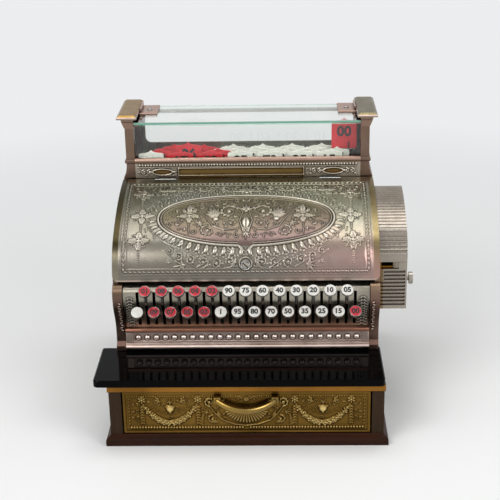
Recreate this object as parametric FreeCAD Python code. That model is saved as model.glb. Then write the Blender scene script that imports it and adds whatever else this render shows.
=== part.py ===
import FreeCAD, Part
import math
import os

# Antique key-press till: a wooden drawer base, a metal machine on top of it,
# and a ticket printer on the machine's right side.
# Millimetres. +Z up, the front faces -Y, and the origin is the middle of the base board's underside.

# Base board and drawer case
case_width = 420.0
case_depth = 400.0
board_height = 17.6
board_flare = 7.4
ogee_drop = 9.0
case_wall = 18.5
case_back_wall = 15.0
case_top = 101.0
case_top_thickness = 11.0
guide_height = 9.4
guide_width = 13.5

# Brass rail over the drawer, and the counter slab
rail_side_overhang = 1.7
rail_depth = 12.6
rail_overhang = 2.9
rail_edge_radius = 2.4
slab_thickness = 10.9
slab_back_gap = 0.5
slab_left_overhang = 22.2
slab_right_overhang = 0.7
slab_front_overhang = 5.9
slab_edge_chamfer = 1.8
slab_corner_radius = 8.0

# Drawer
drawer_side_gap = 2.5
drawer_front_thickness = 6.0
drawer_front_recess = 1.0
drawer_border = 3.5
drawer_field_depth = 1.4
drawer_front_bottom_gap = 1.4
drawer_front_top_gap = 1.0
drawer_length = 343.0
drawer_box_wall = 8.0
drawer_box_floor = 5.0
drawer_box_height = 53.0
drawer_box_side_gap = 4.5
tray_gap = 0.6
tray_height = 40.0
tray_wall = 5.0
tray_floor = 3.0
tray_bays = 5
coin_cup_length = 96.0
coin_cup_radius = 26.0

# Drawer pull
pull_span = 88.0
pull_end_drop = 10.0
pull_inner_drop = 14.0
pull_outer_drop = 23.0
pull_end_half = 3.0
pull_thickness = 6.0
pull_stand_off = 7.5
pull_chamfer = 1.4
pull_post_half = 5.0

# Machine body; its heights are measured from the top of the case
body_inset = 2.7
base_plate_height = 12.0
base_plate_inset = 2.3
machine_front = -92.0
machine_back = 196.0
well_margin = 20.0
well_floor = 6.0
side_wall = 8.0
cheek_width = 15.0

# Curved front of the cheeks: bulge over a waist over a foot
bulge_front = -118.5
bulge_height = case_top + 112.0
bulge_top_radius = 15.5
waist_front = -98.0
waist_height = case_top + 41.0
foot_front = -104.5
foot_height = 8.0
foot_slope = 6.0

# Hood
hood_lip_front = -106.0
hood_lip_height = case_top + 131.5
hood_end_back = 84.0
hood_end_height = case_top + 237.0
hood_front_turn = 60.0
hood_end_turn = 88.0
hood_thickness = 3.0
hood_seat_gap = 0.4
hood_corner_radius = 9.0
hinge_back = 82.0
hinge_height = case_top + 229.0
hinge_rod_radius = 2.0
knuckle_radius = 4.2
knuckle_bevel = 2.2
knuckle_length = 26.0
hood_eye_back = 1.8
arm_drop = 1.2
arm_gap = 0.5
arm_thickness = 4.0
knuckle_place = 140.0
running_gap = 0.05
knuckle_side_gap = 0.6
rod_end_reach = 0.5

# Lock in the hood
lock_turn = 20.0
lock_radius = 7.6
lock_depth = 20.0
lock_face_rise = 1.2
lock_cam_length = 16.0
lock_cam_width = 7.0
lock_cam_thickness = 2.5

# Keyboard
key_pitch = 26.0
upper_keys = 13
lower_keys = 14
plate_inset = 4.0
plate_thickness = 2.5
plate_side_gap = 0.8
top_flange_back = -89.0
plate_bottom = case_top + 39.0
ledge_width = 6.0
ledge_thickness = 3.0
slot_width = 4.6
slot_bottom = case_top + 53.0
slot_top = case_top + 117.0
lever_thickness = 2.6
key_pivot_back = -55.0
key_pivot_height = case_top + 99.0
key_shaft_radius = 4.0
key_eye_wall = 4.0
cap_radius = 9.3
cap_sides = 16
cap_thickness = 5.0
cap_tilt = 50.0
stem_half = 3.0
stem_sink = 0.8

# A lever's bends, from its cap's face: below the cap, inside the slot, and above that
upper_lever_bends = ((6.0, -21.7), (13.0, -29.7), (21.0, -18.7))
lower_lever_bends = ((8.0, -18.1), (21.0, -21.1), (29.0, -6.1))
upper_cap_front = -125.0
upper_cap_height = case_top + 123.7
lower_cap_front = -127.0
lower_cap_height = case_top + 89.1
tail_back = 142.0
tail_top = case_top + 102.0
tail_depth = 9.0

# Rail under the keys
lower_rail_top = case_top + 48.0
lower_rail_foot_gap = 2.0
lower_rail_plate_gap = 2.6
lower_rail_front = -103.0
lower_rail_field = -99.5
lower_rail_bead = 4.0
lower_rail_step = 3.5
lower_rail_cove = 2.5
lower_rail_lip = 5.5
lower_rail_bevel = 1.2

# Upper rail, pillars and caps
pillar_foot = case_top + 237.5
pillar_front = 88.0
pillar_inset = 5.9
pillar_width = 14.4
pillar_foot_inset = 0.8
pillar_flare = 1.2
pillar_flare_height = 12.0
pillar_ring_drop = 2.0
pillar_ring_height = 7.0
pillar_ring_rise = 2.2
ring_bevel = 1.6
rail_top = case_top + 272.0
top_rail_front = 87.0
top_rail_thickness = 4.0
top_rail_bead_radius = 4.7
stile_depth = 15.0
pillar_web = 5.0
capital_bottom = case_top + 323.0
capital_top = case_top + 333.0
capital_step = 0.8
capital_rise = 4.5
capital_front_rise = 1.8
neck_front = 0.6
neck_back = 1.0
neck_top = case_top + 337.5
cap_inner_overhang = 5.5
cap_outer_overhang = 13.0
cap_front_overhang = 1.4
cap_back_overhang = 7.0
cap_edge_top = case_top + 340.5
cap_peak = case_top + 344.0
cap_bevel = 5.0

# Glass
glass_side_gap = 0.5
top_glass_bottom = case_top + 328.5
top_glass_thickness = 4.0
top_glass_back_gap = 0.5
glass_edge_bevel = 0.5
glass_ledge_depth = 8.0
glass_ledge_inset = 2.0
glass_ledge_thickness = 2.8
pane_thickness = 3.0
pane_gap = 0.3
pane_seat = 1.2
front_pane_front = 93.6
rear_pane_front = 190.0
clip_front = 134.0
clip_back = 188.0
clip_width = 30.0
clip_thickness = 4.0
clip_bevel = 1.2
clip_lug = 3.0
clip_lug_inset = 6.0
clip_lug_height = 5.0

# Back cover
back_thickness = 3.0
back_border = 11.0
back_border_rise = 2.0
window_bottom = case_top + 268.0
window_side_margin = 7.0
window_corner = 10.0
pane_bottom = case_top + 253.5

# Flags and their guide
flag_rows = 4
flag_row_front = 104.0
flag_row_spacing = 11.0
flag_spread = 0.955
flag_side_gap = 7.66
flag_height = 50.0
flag_thickness = 1.2
flag_peak = case_top + 281.4
flag_shoulder_drop = 6.5
flag_raise = 42.8
tall_flag_extra = 9.0
tall_flags = (3, 5)
keyed_index = 21
rod_width = 3.0
rod_depth = 4.0
rod_side_gap = 0.6
rod_foot_gap = 0.4
rod_overlap = 12.0
resting_rod_foot = case_top + 151.0
comb_thickness = 20.0
comb_front = 98.0
comb_back = 146.0
comb_end_inset = 16.3
rest_bar_front = 120.0
rest_bar_depth = 8.0
rest_bar_height = 8.0
comb_end_wall = 4.0

# Ticket printer
printer_inner_gap = 0.5
printer_width = 45.2
printer_front = -64.0
printer_back = 60.0
printer_bottom = case_top + 64.0
printer_wall = 2.5
cover_bottom = case_top + 144.0
cover_start = case_top + 151.0
cover_end_back = 56.0
cover_end_height = case_top + 230.0
cover_front_turn = 55.0
cover_end_turn = 83.0
cover_gap = 0.4
cover_rear_drop = 3.0
flute_pitch = 6.5
flute_mouth = 2.3
flute_floor = 0.9
flute_depth = 1.3
flute_count = 22
throat_height = 12.0
throat_width = 29.7
rib_pitch = 6.2
rib_width = 2.2
rib_count = 10
rib_depth = 3.0
rib_margin = 2.5
notch_width = 7.0
notch_ribs = 3
inner_wall_gap = 2.0
pad_margin = 15.0
cover_hinge_radius = 3.0
cover_pin_radius = 1.5
cover_hinge_margin = 14.0
spool_radius = 6.0
roll_radius = 27.0
roll_width = 30.0
roll_side_gap = 1.0
roll_back = 6.0
roll_height = case_top + 177.0
feed_back = -6.5
feed_height = case_top + 93.0
feed_roller_radius = 4.5
feed_roller_reach = 0.2
feed_knob_radius = 10.0
feed_knob_stand_off = 9.0
feed_knob_thickness = 6.0

# Sizes that follow from the ones above
flag_width = flag_rows * key_pitch / 2 * flag_spread - flag_side_gap
half_case = case_width / 2
case_front = -case_depth / 2
case_end = case_depth / 2
case_side_top = case_top - case_top_thickness
half_body = half_case - body_inset
half_inner = half_body - side_wall
half_keyboard = half_body - cheek_width
machine_floor = case_top + base_plate_height
drawer_half_width = half_case - case_wall - drawer_side_gap
drawer_front_bottom = board_height + drawer_front_bottom_gap
drawer_front_top = case_side_top - drawer_front_top_gap
pull_end_height = drawer_front_top - pull_end_drop
drawer_face = case_front + drawer_front_recess
drawer_box_front = drawer_face + drawer_front_thickness
drawer_box_back = drawer_box_front + drawer_length
drawer_box_half = half_case - case_wall - drawer_box_side_gap
drawer_box_bottom = board_height + guide_height
lower_rail_bottom = machine_floor + lower_rail_foot_gap
lower_rail_back = waist_front + lower_rail_plate_gap
pillar_outer = half_body - pillar_inset
pillar_inner = pillar_outer - pillar_width
pillar_foot_outer = half_body - pillar_foot_inset
cap_inner = pillar_inner - cap_inner_overhang
cap_outer = pillar_outer + cap_outer_overhang
cap_front = pillar_front - cap_front_overhang
cap_back = machine_back + cap_back_overhang
comb_end = half_inner - comb_end_inset
printer_inner = half_body + printer_inner_gap
printer_outer = printer_inner + printer_width
throat_right = printer_inner + printer_wall + throat_width
feed_knob_side = printer_outer + feed_knob_stand_off


def radians(degrees):
    return degrees * math.pi / 180


def point(x, y, z):
    return FreeCAD.Vector(x, y, z)


def box(x0, x1, y0, y1, z0, z1):
    return Part.makeBox(x1 - x0, y1 - y0, z1 - z0, point(x0, y0, z0))


def rod_x(radius, x0, x1, y, z):
    return Part.makeCylinder(radius, x1 - x0, point(x0, y, z), point(1, 0, 0))


def arc_point(centre, radius, degrees):
    """A point in the YZ plane, at an angle from -Y towards +Z."""
    y = centre[0] - radius * math.cos(radians(degrees))
    z = centre[1] + radius * math.sin(radians(degrees))
    return (y, z)


def arc_edge(centre, radius, start, end):
    """An arc in the YZ plane, between two angles from -Y towards +Z."""
    ends = [arc_point(centre, radius, a) for a in (start, (start + end) / 2, end)]
    return Part.Arc(*[point(0, y, z) for y, z in ends]).toShape()


def line_edges(points):
    edges = []
    for (y0, z0), (y1, z1) in zip(points, points[1:]):
        edges.append(Part.makeLine(point(0, y0, z0), point(0, y1, z1)))
    return edges


def prism(edges, x0, x1):
    """A closed outline in the YZ plane, pushed from x0 to x1."""
    wire = Part.Wire(Part.sortEdges(edges)[0])
    solid = Part.Face(wire).extrude(point(x1 - x0, 0, 0))
    solid.translate(point(x0, 0, 0))
    return solid


def polygon_prism(points, x0, x1):
    return prism(line_edges(points + points[:1]), x0, x1)


def front_prism(points, y0, y1):
    """A closed outline in the XZ plane, pushed from y0 to y1."""
    corners = [point(x, y0, z) for x, z in points]
    wire = Part.makePolygon(corners + corners[:1])
    return Part.Face(wire).extrude(point(0, y1 - y0, 0))


def fuse(first, *others):
    return first.multiFuse(list(others)).removeSplitter()


def mirrored(shape):
    return shape.mirror(point(0, 0, 0), point(1, 0, 0))


def edges_along_x(shape):
    found = []
    for edge in shape.Edges:
        if isinstance(edge.Curve, Part.Line) and abs(edge.Curve.Direction.x) > 0.999:
            found.append(edge)
    return found


def upright_edges(shape):
    found = []
    for edge in shape.Edges:
        if isinstance(edge.Curve, Part.Line) and abs(edge.Curve.Direction.z) > 0.999:
            found.append(edge)
    return found


parts = {}


def keep(name, *solids):
    """Stores one node; several separate solids make a group."""
    flat = []
    for solid in solids:
        flat.extend(solid.Solids)
    parts[name] = flat[0] if len(flat) == 1 else Part.makeCompound(flat)


# Two tangent arcs in the YZ plane, starting upright and ending nearly level
class Sweep:
    def __init__(self, start, end, first_turn, last_turn):
        self.first_turn = first_turn
        self.last_turn = last_turn
        c1 = math.cos(radians(first_turn))
        s1 = math.sin(radians(first_turn))
        c2 = math.cos(radians(last_turn))
        s2 = math.sin(radians(last_turn))
        run = end[0] - start[0]
        rise = end[1] - start[1]
        fixed = (1 - c1) * (s2 - s1) - s1 * (c1 - c2)
        self.first_radius = (run * (s2 - s1) - rise * (c1 - c2)) / fixed
        self.last_radius = ((1 - c1) * rise - s1 * run) / fixed
        self.first_centre = (start[0] + self.first_radius, start[1])
        step = self.last_radius - self.first_radius
        self.last_centre = (self.first_centre[0] + step * c1, start[1] - step * s1)

    def at(self, turn, inset=0.0):
        """The point where the tangent has turned by that angle."""
        if turn <= self.first_turn:
            return arc_point(self.first_centre, self.first_radius - inset, turn)
        return arc_point(self.last_centre, self.last_radius - inset, turn)

    def edges(self, inset=0.0, last=None):
        """The two arcs, inset from the outer skin, up to the last turn."""
        last = self.last_turn if last is None else last
        first = arc_edge(self.first_centre, self.first_radius - inset, 0, self.first_turn)
        second = arc_edge(self.last_centre, self.last_radius - inset, self.first_turn, last)
        return [first, second]

    def length(self):
        first = self.first_radius * radians(self.first_turn)
        return first + self.last_radius * radians(self.last_turn - self.first_turn)

    def turn_at_back(self, back, inset=0.0):
        """The turn at which the last arc reaches a given Y."""
        share = (self.last_centre[0] - back) / (self.last_radius - inset)
        return math.degrees(math.acos(share))

    def turn_at(self, distance):
        """The turn at a distance along the outer skin."""
        first = self.first_radius * radians(self.first_turn)
        if distance <= first:
            return math.degrees(distance / self.first_radius)
        return self.first_turn + math.degrees((distance - first) / self.last_radius)


hood_sweep = Sweep((hood_lip_front, hood_lip_height), (hood_end_back, hood_end_height),
                   hood_front_turn, hood_end_turn)
cover_sweep = Sweep((printer_front, cover_start), (cover_end_back, cover_end_height),
                    cover_front_turn, cover_end_turn)


# Curved front line of the cheeks, and of the plate that follows it
ogee_run = waist_front - bulge_front
ogee_rise = bulge_height - waist_height
ogee_turn = 2 * math.degrees(math.atan(ogee_run / ogee_rise))
ogee_radius = ogee_rise / (2 * math.sin(radians(ogee_turn)))
bulge_centre = (bulge_front + ogee_radius, bulge_height)
waist_centre = (waist_front - ogee_radius, waist_height)
brow_centre = (bulge_front + bulge_top_radius, bulge_height)


def ogee_edges(inset):
    """Waist, bulge and brow arcs from low to high, inset from the cheek's front."""
    waist = arc_edge(waist_centre, -(ogee_radius + inset), 0, -ogee_turn)
    bulge = arc_edge(bulge_centre, ogee_radius - inset, -ogee_turn, 0)
    brow = arc_edge(brow_centre, bulge_top_radius - inset, 0, 90)
    return [waist, bulge, brow]


def waist_start(inset):
    return (waist_front + inset, waist_height)


def brow_end(inset):
    return (brow_centre[0], bulge_height + bulge_top_radius - inset)


def base_board():
    """Board with an ogee moulding round its edge, mitred by crossing two profiles."""
    cove = board_flare * 0.55
    half = half_case + board_flare
    profile = [(half, 0), (half, board_height - ogee_drop)]
    profile += [(half - cove * 0.35, board_height - ogee_drop * 0.55)]
    profile += [(half_case + cove * 0.35, board_height - ogee_drop * 0.25)]
    profile += [(half_case + 0.6, board_height)]
    across = profile + [(-x, z) for x, z in reversed(profile)]
    shift = case_depth / 2 - half_case
    along = [(x + shift if x > 0 else x - shift, z) for x, z in across]
    wide = front_prism(across, -half_case * 2, half_case * 2)
    deep = polygon_prism(along, -half_case * 2, half_case * 2)
    return wide.common(deep)


def drawer_case():
    left = box(-half_case, -half_case + case_wall, case_front, case_end, board_height, case_side_top)
    right = mirrored(left)
    back = box(-half_case, half_case, case_end - case_back_wall, case_end, board_height, case_side_top)
    top = box(-half_case, half_case, case_front + rail_depth, case_end, case_side_top, case_top)
    inner = half_case - case_wall
    guide = box(-inner, guide_width - inner, drawer_box_front, case_end, board_height, drawer_box_bottom)
    return fuse(left, right, back, top, guide, mirrored(guide))


def drawer_top_rail():
    """Rounded brass rail over the drawer."""
    half = half_case + rail_side_overhang
    front = case_front - rail_overhang
    bar = box(-half, half, front, case_front + rail_depth, case_side_top, case_top)
    front_edges = [e for e in edges_along_x(bar) if abs(e.CenterOfMass.y - front) < 0.01]
    return bar.makeFillet(rail_edge_radius, front_edges)


def counter_slab():
    left = -half_case - slab_left_overhang
    right = half_case + slab_right_overhang
    front = case_front - slab_front_overhang
    slab = box(left, right, front, machine_front - slab_back_gap, case_top, case_top + slab_thickness)
    corners = [e for e in upright_edges(slab) if e.CenterOfMass.y < front + 1]
    slab = slab.makeFillet(slab_corner_radius, corners)
    top = case_top + slab_thickness
    upper = [e for e in slab.Edges if abs(e.CenterOfMass.z - top) < 0.01]
    rim = [e for e in upper if e.CenterOfMass.y < machine_front - 1]
    return slab.makeChamfer(slab_edge_chamfer, rim)


def drawer_front():
    """Raised border round a sunk field."""
    half = drawer_half_width
    plate = box(-half, half, drawer_face, drawer_box_front, drawer_front_bottom, drawer_front_top)
    field = box(-half + drawer_border, half - drawer_border, drawer_face, drawer_face + drawer_field_depth,
                drawer_front_bottom + drawer_border, drawer_front_top - drawer_border)
    return plate.cut(field)


def drawer_pull():
    """Crescent-shaped grip, thick in the middle, on two square posts."""
    field = drawer_face + drawer_field_depth
    back = field - pull_stand_off
    front = back - pull_thickness
    half = pull_span / 2
    left_top = point(-half, front, pull_end_height + pull_end_half)
    right_top = point(half, front, pull_end_height + pull_end_half)
    left_low = point(-half - pull_end_half, front, pull_end_height - pull_end_half)
    right_low = point(half + pull_end_half, front, pull_end_height - pull_end_half)
    upper = Part.Arc(left_top, point(0, front, pull_end_height - pull_inner_drop), right_top).toShape()
    lower = Part.Arc(left_low, point(0, front, pull_end_height - pull_outer_drop), right_low).toShape()
    ends = [Part.makeLine(left_top, left_low), Part.makeLine(right_top, right_low)]
    outline = Part.Wire(Part.sortEdges([upper, lower] + ends)[0])
    grip = Part.Face(outline).extrude(point(0, pull_thickness, 0))
    rim = [e for e in grip.Edges if isinstance(e.Curve, Part.Circle) and abs(e.CenterOfMass.y - front) < 0.01]
    grip = grip.makeChamfer(pull_chamfer, rim)
    posts = []
    for side in (-half, half):
        posts.append(box(side - pull_post_half, side + pull_post_half, back - pull_thickness / 2, field,
                         pull_end_height - pull_post_half, pull_end_height + pull_post_half))
    return fuse(grip, *posts)


def drawer_box():
    half = drawer_box_half
    top = drawer_box_bottom + drawer_box_height
    outer = box(-half, half, drawer_box_front, drawer_box_back, drawer_box_bottom, top)
    inner = box(-half + drawer_box_wall, half - drawer_box_wall, drawer_box_front + drawer_box_wall,
                drawer_box_back - drawer_box_wall, drawer_box_bottom + drawer_box_floor, top + 1)
    return outer.cut(inner)


def tray_frame():
    """The tray's outer half width, front, back and floor."""
    half = drawer_box_half - drawer_box_wall - tray_gap
    front = drawer_box_front + drawer_box_wall + tray_gap
    back = drawer_box_back - drawer_box_wall - tray_gap
    return half, front, back, drawer_box_bottom + drawer_box_floor


def coin_tray():
    """Coin cups with a rounded front to scoop against, and straight note bays behind."""
    half, front, back, low = tray_frame()
    top = low + tray_height
    tray = box(-half, half, front, back, low, top)
    bay = (2 * half - tray_wall * (tray_bays + 1)) / tray_bays
    cup_back = front + tray_wall + coin_cup_length
    cuts = []
    for i in range(tray_bays):
        x0 = -half + tray_wall + i * (bay + tray_wall)
        cup_floor = low + tray_floor
        radius = coin_cup_radius
        flat = [(front + tray_wall, top + 1), (front + tray_wall, cup_floor + radius)]
        scoop = arc_edge((front + tray_wall + radius, cup_floor + radius), radius, 0, -90)
        rest = [(front + tray_wall + radius, cup_floor), (cup_back, cup_floor), (cup_back, top + 1),
                (front + tray_wall, top + 1)]
        cuts.append(prism(line_edges(flat) + [scoop] + line_edges(rest), x0, x0 + bay))
        cuts.append(box(x0, x0 + bay, cup_back + tray_wall, back - tray_wall, cup_floor, top + 1))
    return tray.cut(Part.makeCompound(cuts))


def machine_base():
    half = half_body - base_plate_inset
    plate = box(-half, half, machine_front, machine_back, case_top, machine_floor)
    margin = well_margin
    well = box(-half + margin, half - margin, machine_front + margin, machine_back - margin,
               case_top + well_floor, machine_floor + 1)
    return plate.cut(well)


def side_outline():
    """Cheek, hood seat, relief for the hood's back edge, and the wall behind."""
    seat = hood_thickness + hood_seat_gap
    relief_front = hinge_back - 6.0
    relief_back = top_rail_front + top_rail_thickness + 0.5
    relief_floor = hinge_height - 2.0
    last = hood_sweep.turn_at_back(relief_front, seat)
    seat_end = hood_sweep.at(last, seat)
    foot_top = machine_floor + foot_height
    low = [(machine_back, machine_floor), (foot_front, machine_floor), (foot_front, foot_top)]
    low += [(waist_front, foot_top + foot_slope), waist_start(0)]
    lip = [brow_end(0), hood_sweep.at(0, seat)]
    high = [seat_end, (relief_front, relief_floor), (relief_back, relief_floor)]
    high += [(relief_back, pillar_foot), (machine_back, pillar_foot), (machine_back, machine_floor)]
    return line_edges(low) + ogee_edges(0) + line_edges(lip) + hood_sweep.edges(seat, last) + line_edges(high)


def plate_line(inset):
    """Points from the plate's top flange down to its foot: short flats that follow the cheeks' curve."""
    line = [(top_flange_back, brow_end(inset)[1]), brow_end(inset)]
    line.append(arc_point(brow_centre, bulge_top_radius - inset, 45))
    for turn in (0, -ogee_turn / 2, -ogee_turn):
        line.append(arc_point(bulge_centre, ogee_radius - inset, turn))
    for turn in (-ogee_turn / 2, 0):
        line.append(arc_point(waist_centre, -(ogee_radius + inset), turn))
    line.append((waist_front + inset, plate_bottom))
    return line


def right_side_panel():
    """Side wall with a wide cheek in front and a ledge behind the key plate."""
    wall = prism(side_outline(), half_inner, half_body)
    ledge_front = plate_line(plate_inset + plate_thickness)[1:]
    ledge_back = [(y + ledge_thickness, z) for y, z in reversed(ledge_front)]
    ledge = polygon_prism(ledge_front + ledge_back, half_keyboard - ledge_width, half_inner + 1)
    cheek_block = box(half_keyboard, half_inner + 1, foot_front - 20, waist_front + 8, machine_floor,
                      bulge_height + bulge_top_radius)
    cheek = prism(side_outline(), half_keyboard, half_inner + 1).common(cheek_block)
    return fuse(wall, cheek, ledge)


def lug_top(low):
    """Outline of a lug round the hood's hinge axis, bevelled to stay inside the lid's turn."""
    half = knuckle_radius
    bevel = knuckle_bevel
    top = hinge_height + half
    front = hinge_back - half
    back = hinge_back + half
    outline = [(front, low), (front, top - bevel), (front + bevel, top)]
    return outline + [(back - bevel, top), (back, top - bevel), (back, low)]


def back_cover():
    """Plate with a raised border, and the rear window above."""
    half = half_body - base_plate_inset
    front = machine_back
    back = front + back_thickness
    low = box(-half, half, front, back, machine_floor, pillar_foot)
    high = box(-pillar_outer, pillar_outer, front, back, pillar_foot, capital_bottom)
    window_side = pillar_inner - window_side_margin
    window = box(-window_side, window_side, front - 1, back + 1, window_bottom, capital_bottom - 6)
    along_y = [e for e in window.Edges if isinstance(e.Curve, Part.Line) and abs(e.Curve.Direction.y) > 0.999]
    window = window.makeFillet(window_corner, along_y)
    border_outer = box(-half, half, back - 0.1, back + back_border_rise, machine_floor, pillar_foot)
    border_inner = box(-half + back_border, half - back_border, back - 1, back + back_border_rise + 1,
                       machine_floor + back_border, pillar_foot - back_border)
    return fuse(low, high, border_outer.cut(border_inner)).cut(window)


def knuckle_places():
    """Left ends of the hood's two eyes."""
    return [-knuckle_place - knuckle_length / 2, knuckle_place - knuckle_length / 2]


def hood():
    """Curved lid shell with rounded front corners, hinge knuckles and a lock hole."""
    lip = line_edges([hood_sweep.at(0), hood_sweep.at(0, hood_thickness)])
    end = line_edges([hood_sweep.at(hood_end_turn), hood_sweep.at(hood_end_turn, hood_thickness)])
    shell = prism(hood_sweep.edges() + hood_sweep.edges(hood_thickness) + lip + end, -half_body, half_body)
    corner_low = hood_lip_height - 1
    corner_high = hood_lip_height + hood_corner_radius
    for side in (-1, 1):
        x = side * (half_body - hood_corner_radius)
        block = box(min(x, side * (half_body + 1)), max(x, side * (half_body + 1)),
                    hood_lip_front - 10, hood_lip_front + 30, corner_low, corner_high)
        start = point(x, hood_lip_front - 20, corner_high)
        round_off = Part.makeCylinder(hood_corner_radius, 60, start, point(0, 1, 0))
        shell = shell.cut(block.cut(round_off))
    eyes = []
    for x in knuckle_places():
        eyes.append(box(x, x + knuckle_length, hinge_back - knuckle_radius, hinge_back + hood_eye_back,
                        hinge_height - knuckle_radius, hood_end_height - hood_thickness / 2))
    shell = fuse(shell, *eyes)
    bore = rod_x(hinge_rod_radius + running_gap, -half_body, half_body, hinge_back, hinge_height)
    return shell.cut(bore).cut(lock_cylinder(lock_radius + running_gap, -10, 10))


def lock_axis():
    """A point on the hood's skin and the outward direction there."""
    y, z = hood_sweep.at(lock_turn)
    out = point(0, -math.cos(radians(lock_turn)), math.sin(radians(lock_turn)))
    return point(0, y, z), out


def lock_cylinder(radius, low, high):
    """A cylinder on the lock's axis, between two distances from the hood's skin."""
    place, out = lock_axis()
    return Part.makeCylinder(radius, high - low, place + out * low, out)


def hood_lock():
    """Barrel with a key slot, and the cam that it turns."""
    barrel = lock_cylinder(lock_radius, -lock_depth, lock_face_rise)
    place, out = lock_axis()
    slot = box(-lock_radius * 0.62, lock_radius * 0.62, -0.8, 0.8, -2.5, 3.0)
    slot.rotate(point(0, 0, 0), point(0, 0, 1), -40)
    cam = box(-lock_cam_width / 2, lock_cam_width / 2, -lock_cam_length, lock_cam_width / 2,
              -lock_depth - lock_cam_thickness, -lock_depth)
    turn = FreeCAD.Rotation(point(1, 0, 0), 90 - lock_turn)
    for shape in (slot, cam):
        shape.Placement = FreeCAD.Placement(place, turn).multiply(shape.Placement)
    return fuse(barrel, cam).cut(slot)


def frame_knuckles():
    """Eyes on the machine's side of the hinge, with arms that bend up behind the top rail."""
    pieces = []
    arm_top = hinge_height - arm_drop
    arm_low = hinge_height - knuckle_radius
    web_front = top_rail_front + top_rail_thickness + arm_gap
    web_back = web_front + arm_thickness
    foot_low = pillar_foot + arm_thickness
    foot_high = foot_low + arm_thickness
    outline = lug_top(arm_low)[:-1] + [(hinge_back + knuckle_radius, arm_top), (web_front, arm_top)]
    outline += [(web_front, foot_low), (top_rail_front + 1, foot_low), (top_rail_front + 1, foot_high)]
    outline += [(web_back, foot_high), (web_back, arm_low)]
    for x in knuckle_places():
        start = x + knuckle_length + knuckle_side_gap
        pieces.append(polygon_prism(outline, start, start + knuckle_length))
    return pieces


def hood_hinge_rod():
    """One rod through all the eyes, from the first to the last."""
    first, last = knuckle_places()
    end = last + 2 * knuckle_length + knuckle_side_gap
    return rod_x(hinge_rod_radius, first - rod_end_reach, end + rod_end_reach, hinge_back, hinge_height)


def top_rail():
    """Flat panel with a rounded bead on top, between the pillars."""
    half = pillar_inner
    panel = box(-half, half, top_rail_front, top_rail_front + top_rail_thickness, pillar_foot,
                rail_top - top_rail_bead_radius)
    bead = rod_x(top_rail_bead_radius, -half, half, top_rail_front + 1.2, rail_top - top_rail_bead_radius)
    bore = rod_x(hinge_rod_radius + running_gap, -half, half, hinge_back, hinge_height)
    return fuse(panel, bead, *frame_knuckles()).cut(bore)


def right_pillar():
    """Flared foot, ring, two stiles with a web, capital, glass ledge and bevelled cap."""
    ring_high = rail_top - pillar_ring_drop
    ring_low = ring_high - pillar_ring_height
    inner_low = point(pillar_inner, pillar_front, pillar_foot)
    outer_low = point(pillar_foot_outer, pillar_front, pillar_foot)
    flare = point(pillar_outer + pillar_flare, pillar_front, pillar_foot + pillar_flare_height)
    outer_high = point(pillar_outer, pillar_front, ring_low)
    inner_high = point(pillar_inner, pillar_front, ring_low)
    sides = [Part.makeLine(inner_low, outer_low), Part.Arc(outer_low, flare, outer_high).toShape()]
    sides += [Part.makeLine(outer_high, inner_high), Part.makeLine(inner_high, inner_low)]
    foot = Part.Face(Part.Wire(Part.sortEdges(sides)[0])).extrude(point(0, machine_back - pillar_front, 0))
    ring = box(pillar_inner, pillar_outer + pillar_ring_rise, pillar_front - pillar_ring_rise, machine_back,
               ring_low, ring_high)
    proud = [e for e in ring.Edges if e.CenterOfMass.x > pillar_outer or e.CenterOfMass.y < pillar_front]
    ring_middle = (ring_low + ring_high) / 2
    ring = ring.makeChamfer(ring_bevel, [e for e in proud if abs(e.CenterOfMass.z - ring_middle) > 1])
    front_stile = box(pillar_inner, pillar_outer, pillar_front, pillar_front + stile_depth, ring_high,
                      capital_bottom)
    back_stile = box(pillar_inner, pillar_outer, machine_back - stile_depth, machine_back, ring_high,
                     capital_bottom)
    web = box(pillar_outer - pillar_web, pillar_outer, pillar_front, machine_back, ring_high, capital_bottom)
    capital = tapered_block(pillar_inner, capital_bottom, capital_top)
    neck = box(pillar_inner, pillar_outer + capital_rise, pillar_front - neck_front, machine_back + neck_back,
               capital_top, neck_top)
    ledge = box(pillar_inner - glass_ledge_depth, pillar_inner + 1, pillar_front + glass_ledge_inset,
                machine_back - glass_ledge_inset, top_glass_bottom - glass_ledge_thickness, top_glass_bottom)
    grooves = pane_grooves(pillar_inner - 1, pillar_inner + pane_seat + pane_gap)
    return fuse(foot, ring, front_stile, back_stile, web, capital, neck, ledge, cap()).cut(grooves)


def tapered_block(inner, low, high):
    """Capital that widens upwards on its outer side and its front."""
    outer = pillar_outer
    across = [(inner, low), (outer + capital_step, low), (outer + capital_rise, high), (inner, high)]
    front = pillar_front
    along = [(machine_back, low), (front, low), (front - capital_front_rise, high), (machine_back, high)]
    block = front_prism(across, front - capital_rise, machine_back)
    return block.common(polygon_prism(along, inner, outer + 2 * capital_rise))


def pane_grooves(x0, x1):
    """Grooves that the two upright panes stand in."""
    cuts = []
    for front in (front_pane_front, rear_pane_front):
        cuts.append(box(x0, x1, front - pane_gap, front + pane_thickness + pane_gap, pane_bottom,
                        pane_top() + pane_gap))
    return Part.makeCompound(cuts)


def bevelled_outline(low_side, high_side):
    """Cross-section of the cap: upright edge, then a bevel in to the flat top."""
    return [(low_side, neck_top), (high_side, neck_top), (high_side, cap_edge_top),
            (high_side - cap_bevel, cap_peak), (low_side + cap_bevel, cap_peak), (low_side, cap_edge_top)]


def cap():
    """Flat-edged plate with a bevelled top, mitred by crossing two profiles."""
    across = front_prism(bevelled_outline(cap_inner, cap_outer), cap_front, cap_back)
    return across.common(polygon_prism(bevelled_outline(cap_front, cap_back), cap_inner, cap_outer))


def top_glass():
    half = pillar_inner - glass_side_gap
    pane = box(-half, half, pillar_front, machine_back - top_glass_back_gap, top_glass_bottom,
               top_glass_bottom + top_glass_thickness)
    return pane.makeChamfer(glass_edge_bevel, edges_along_x(pane))


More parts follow.
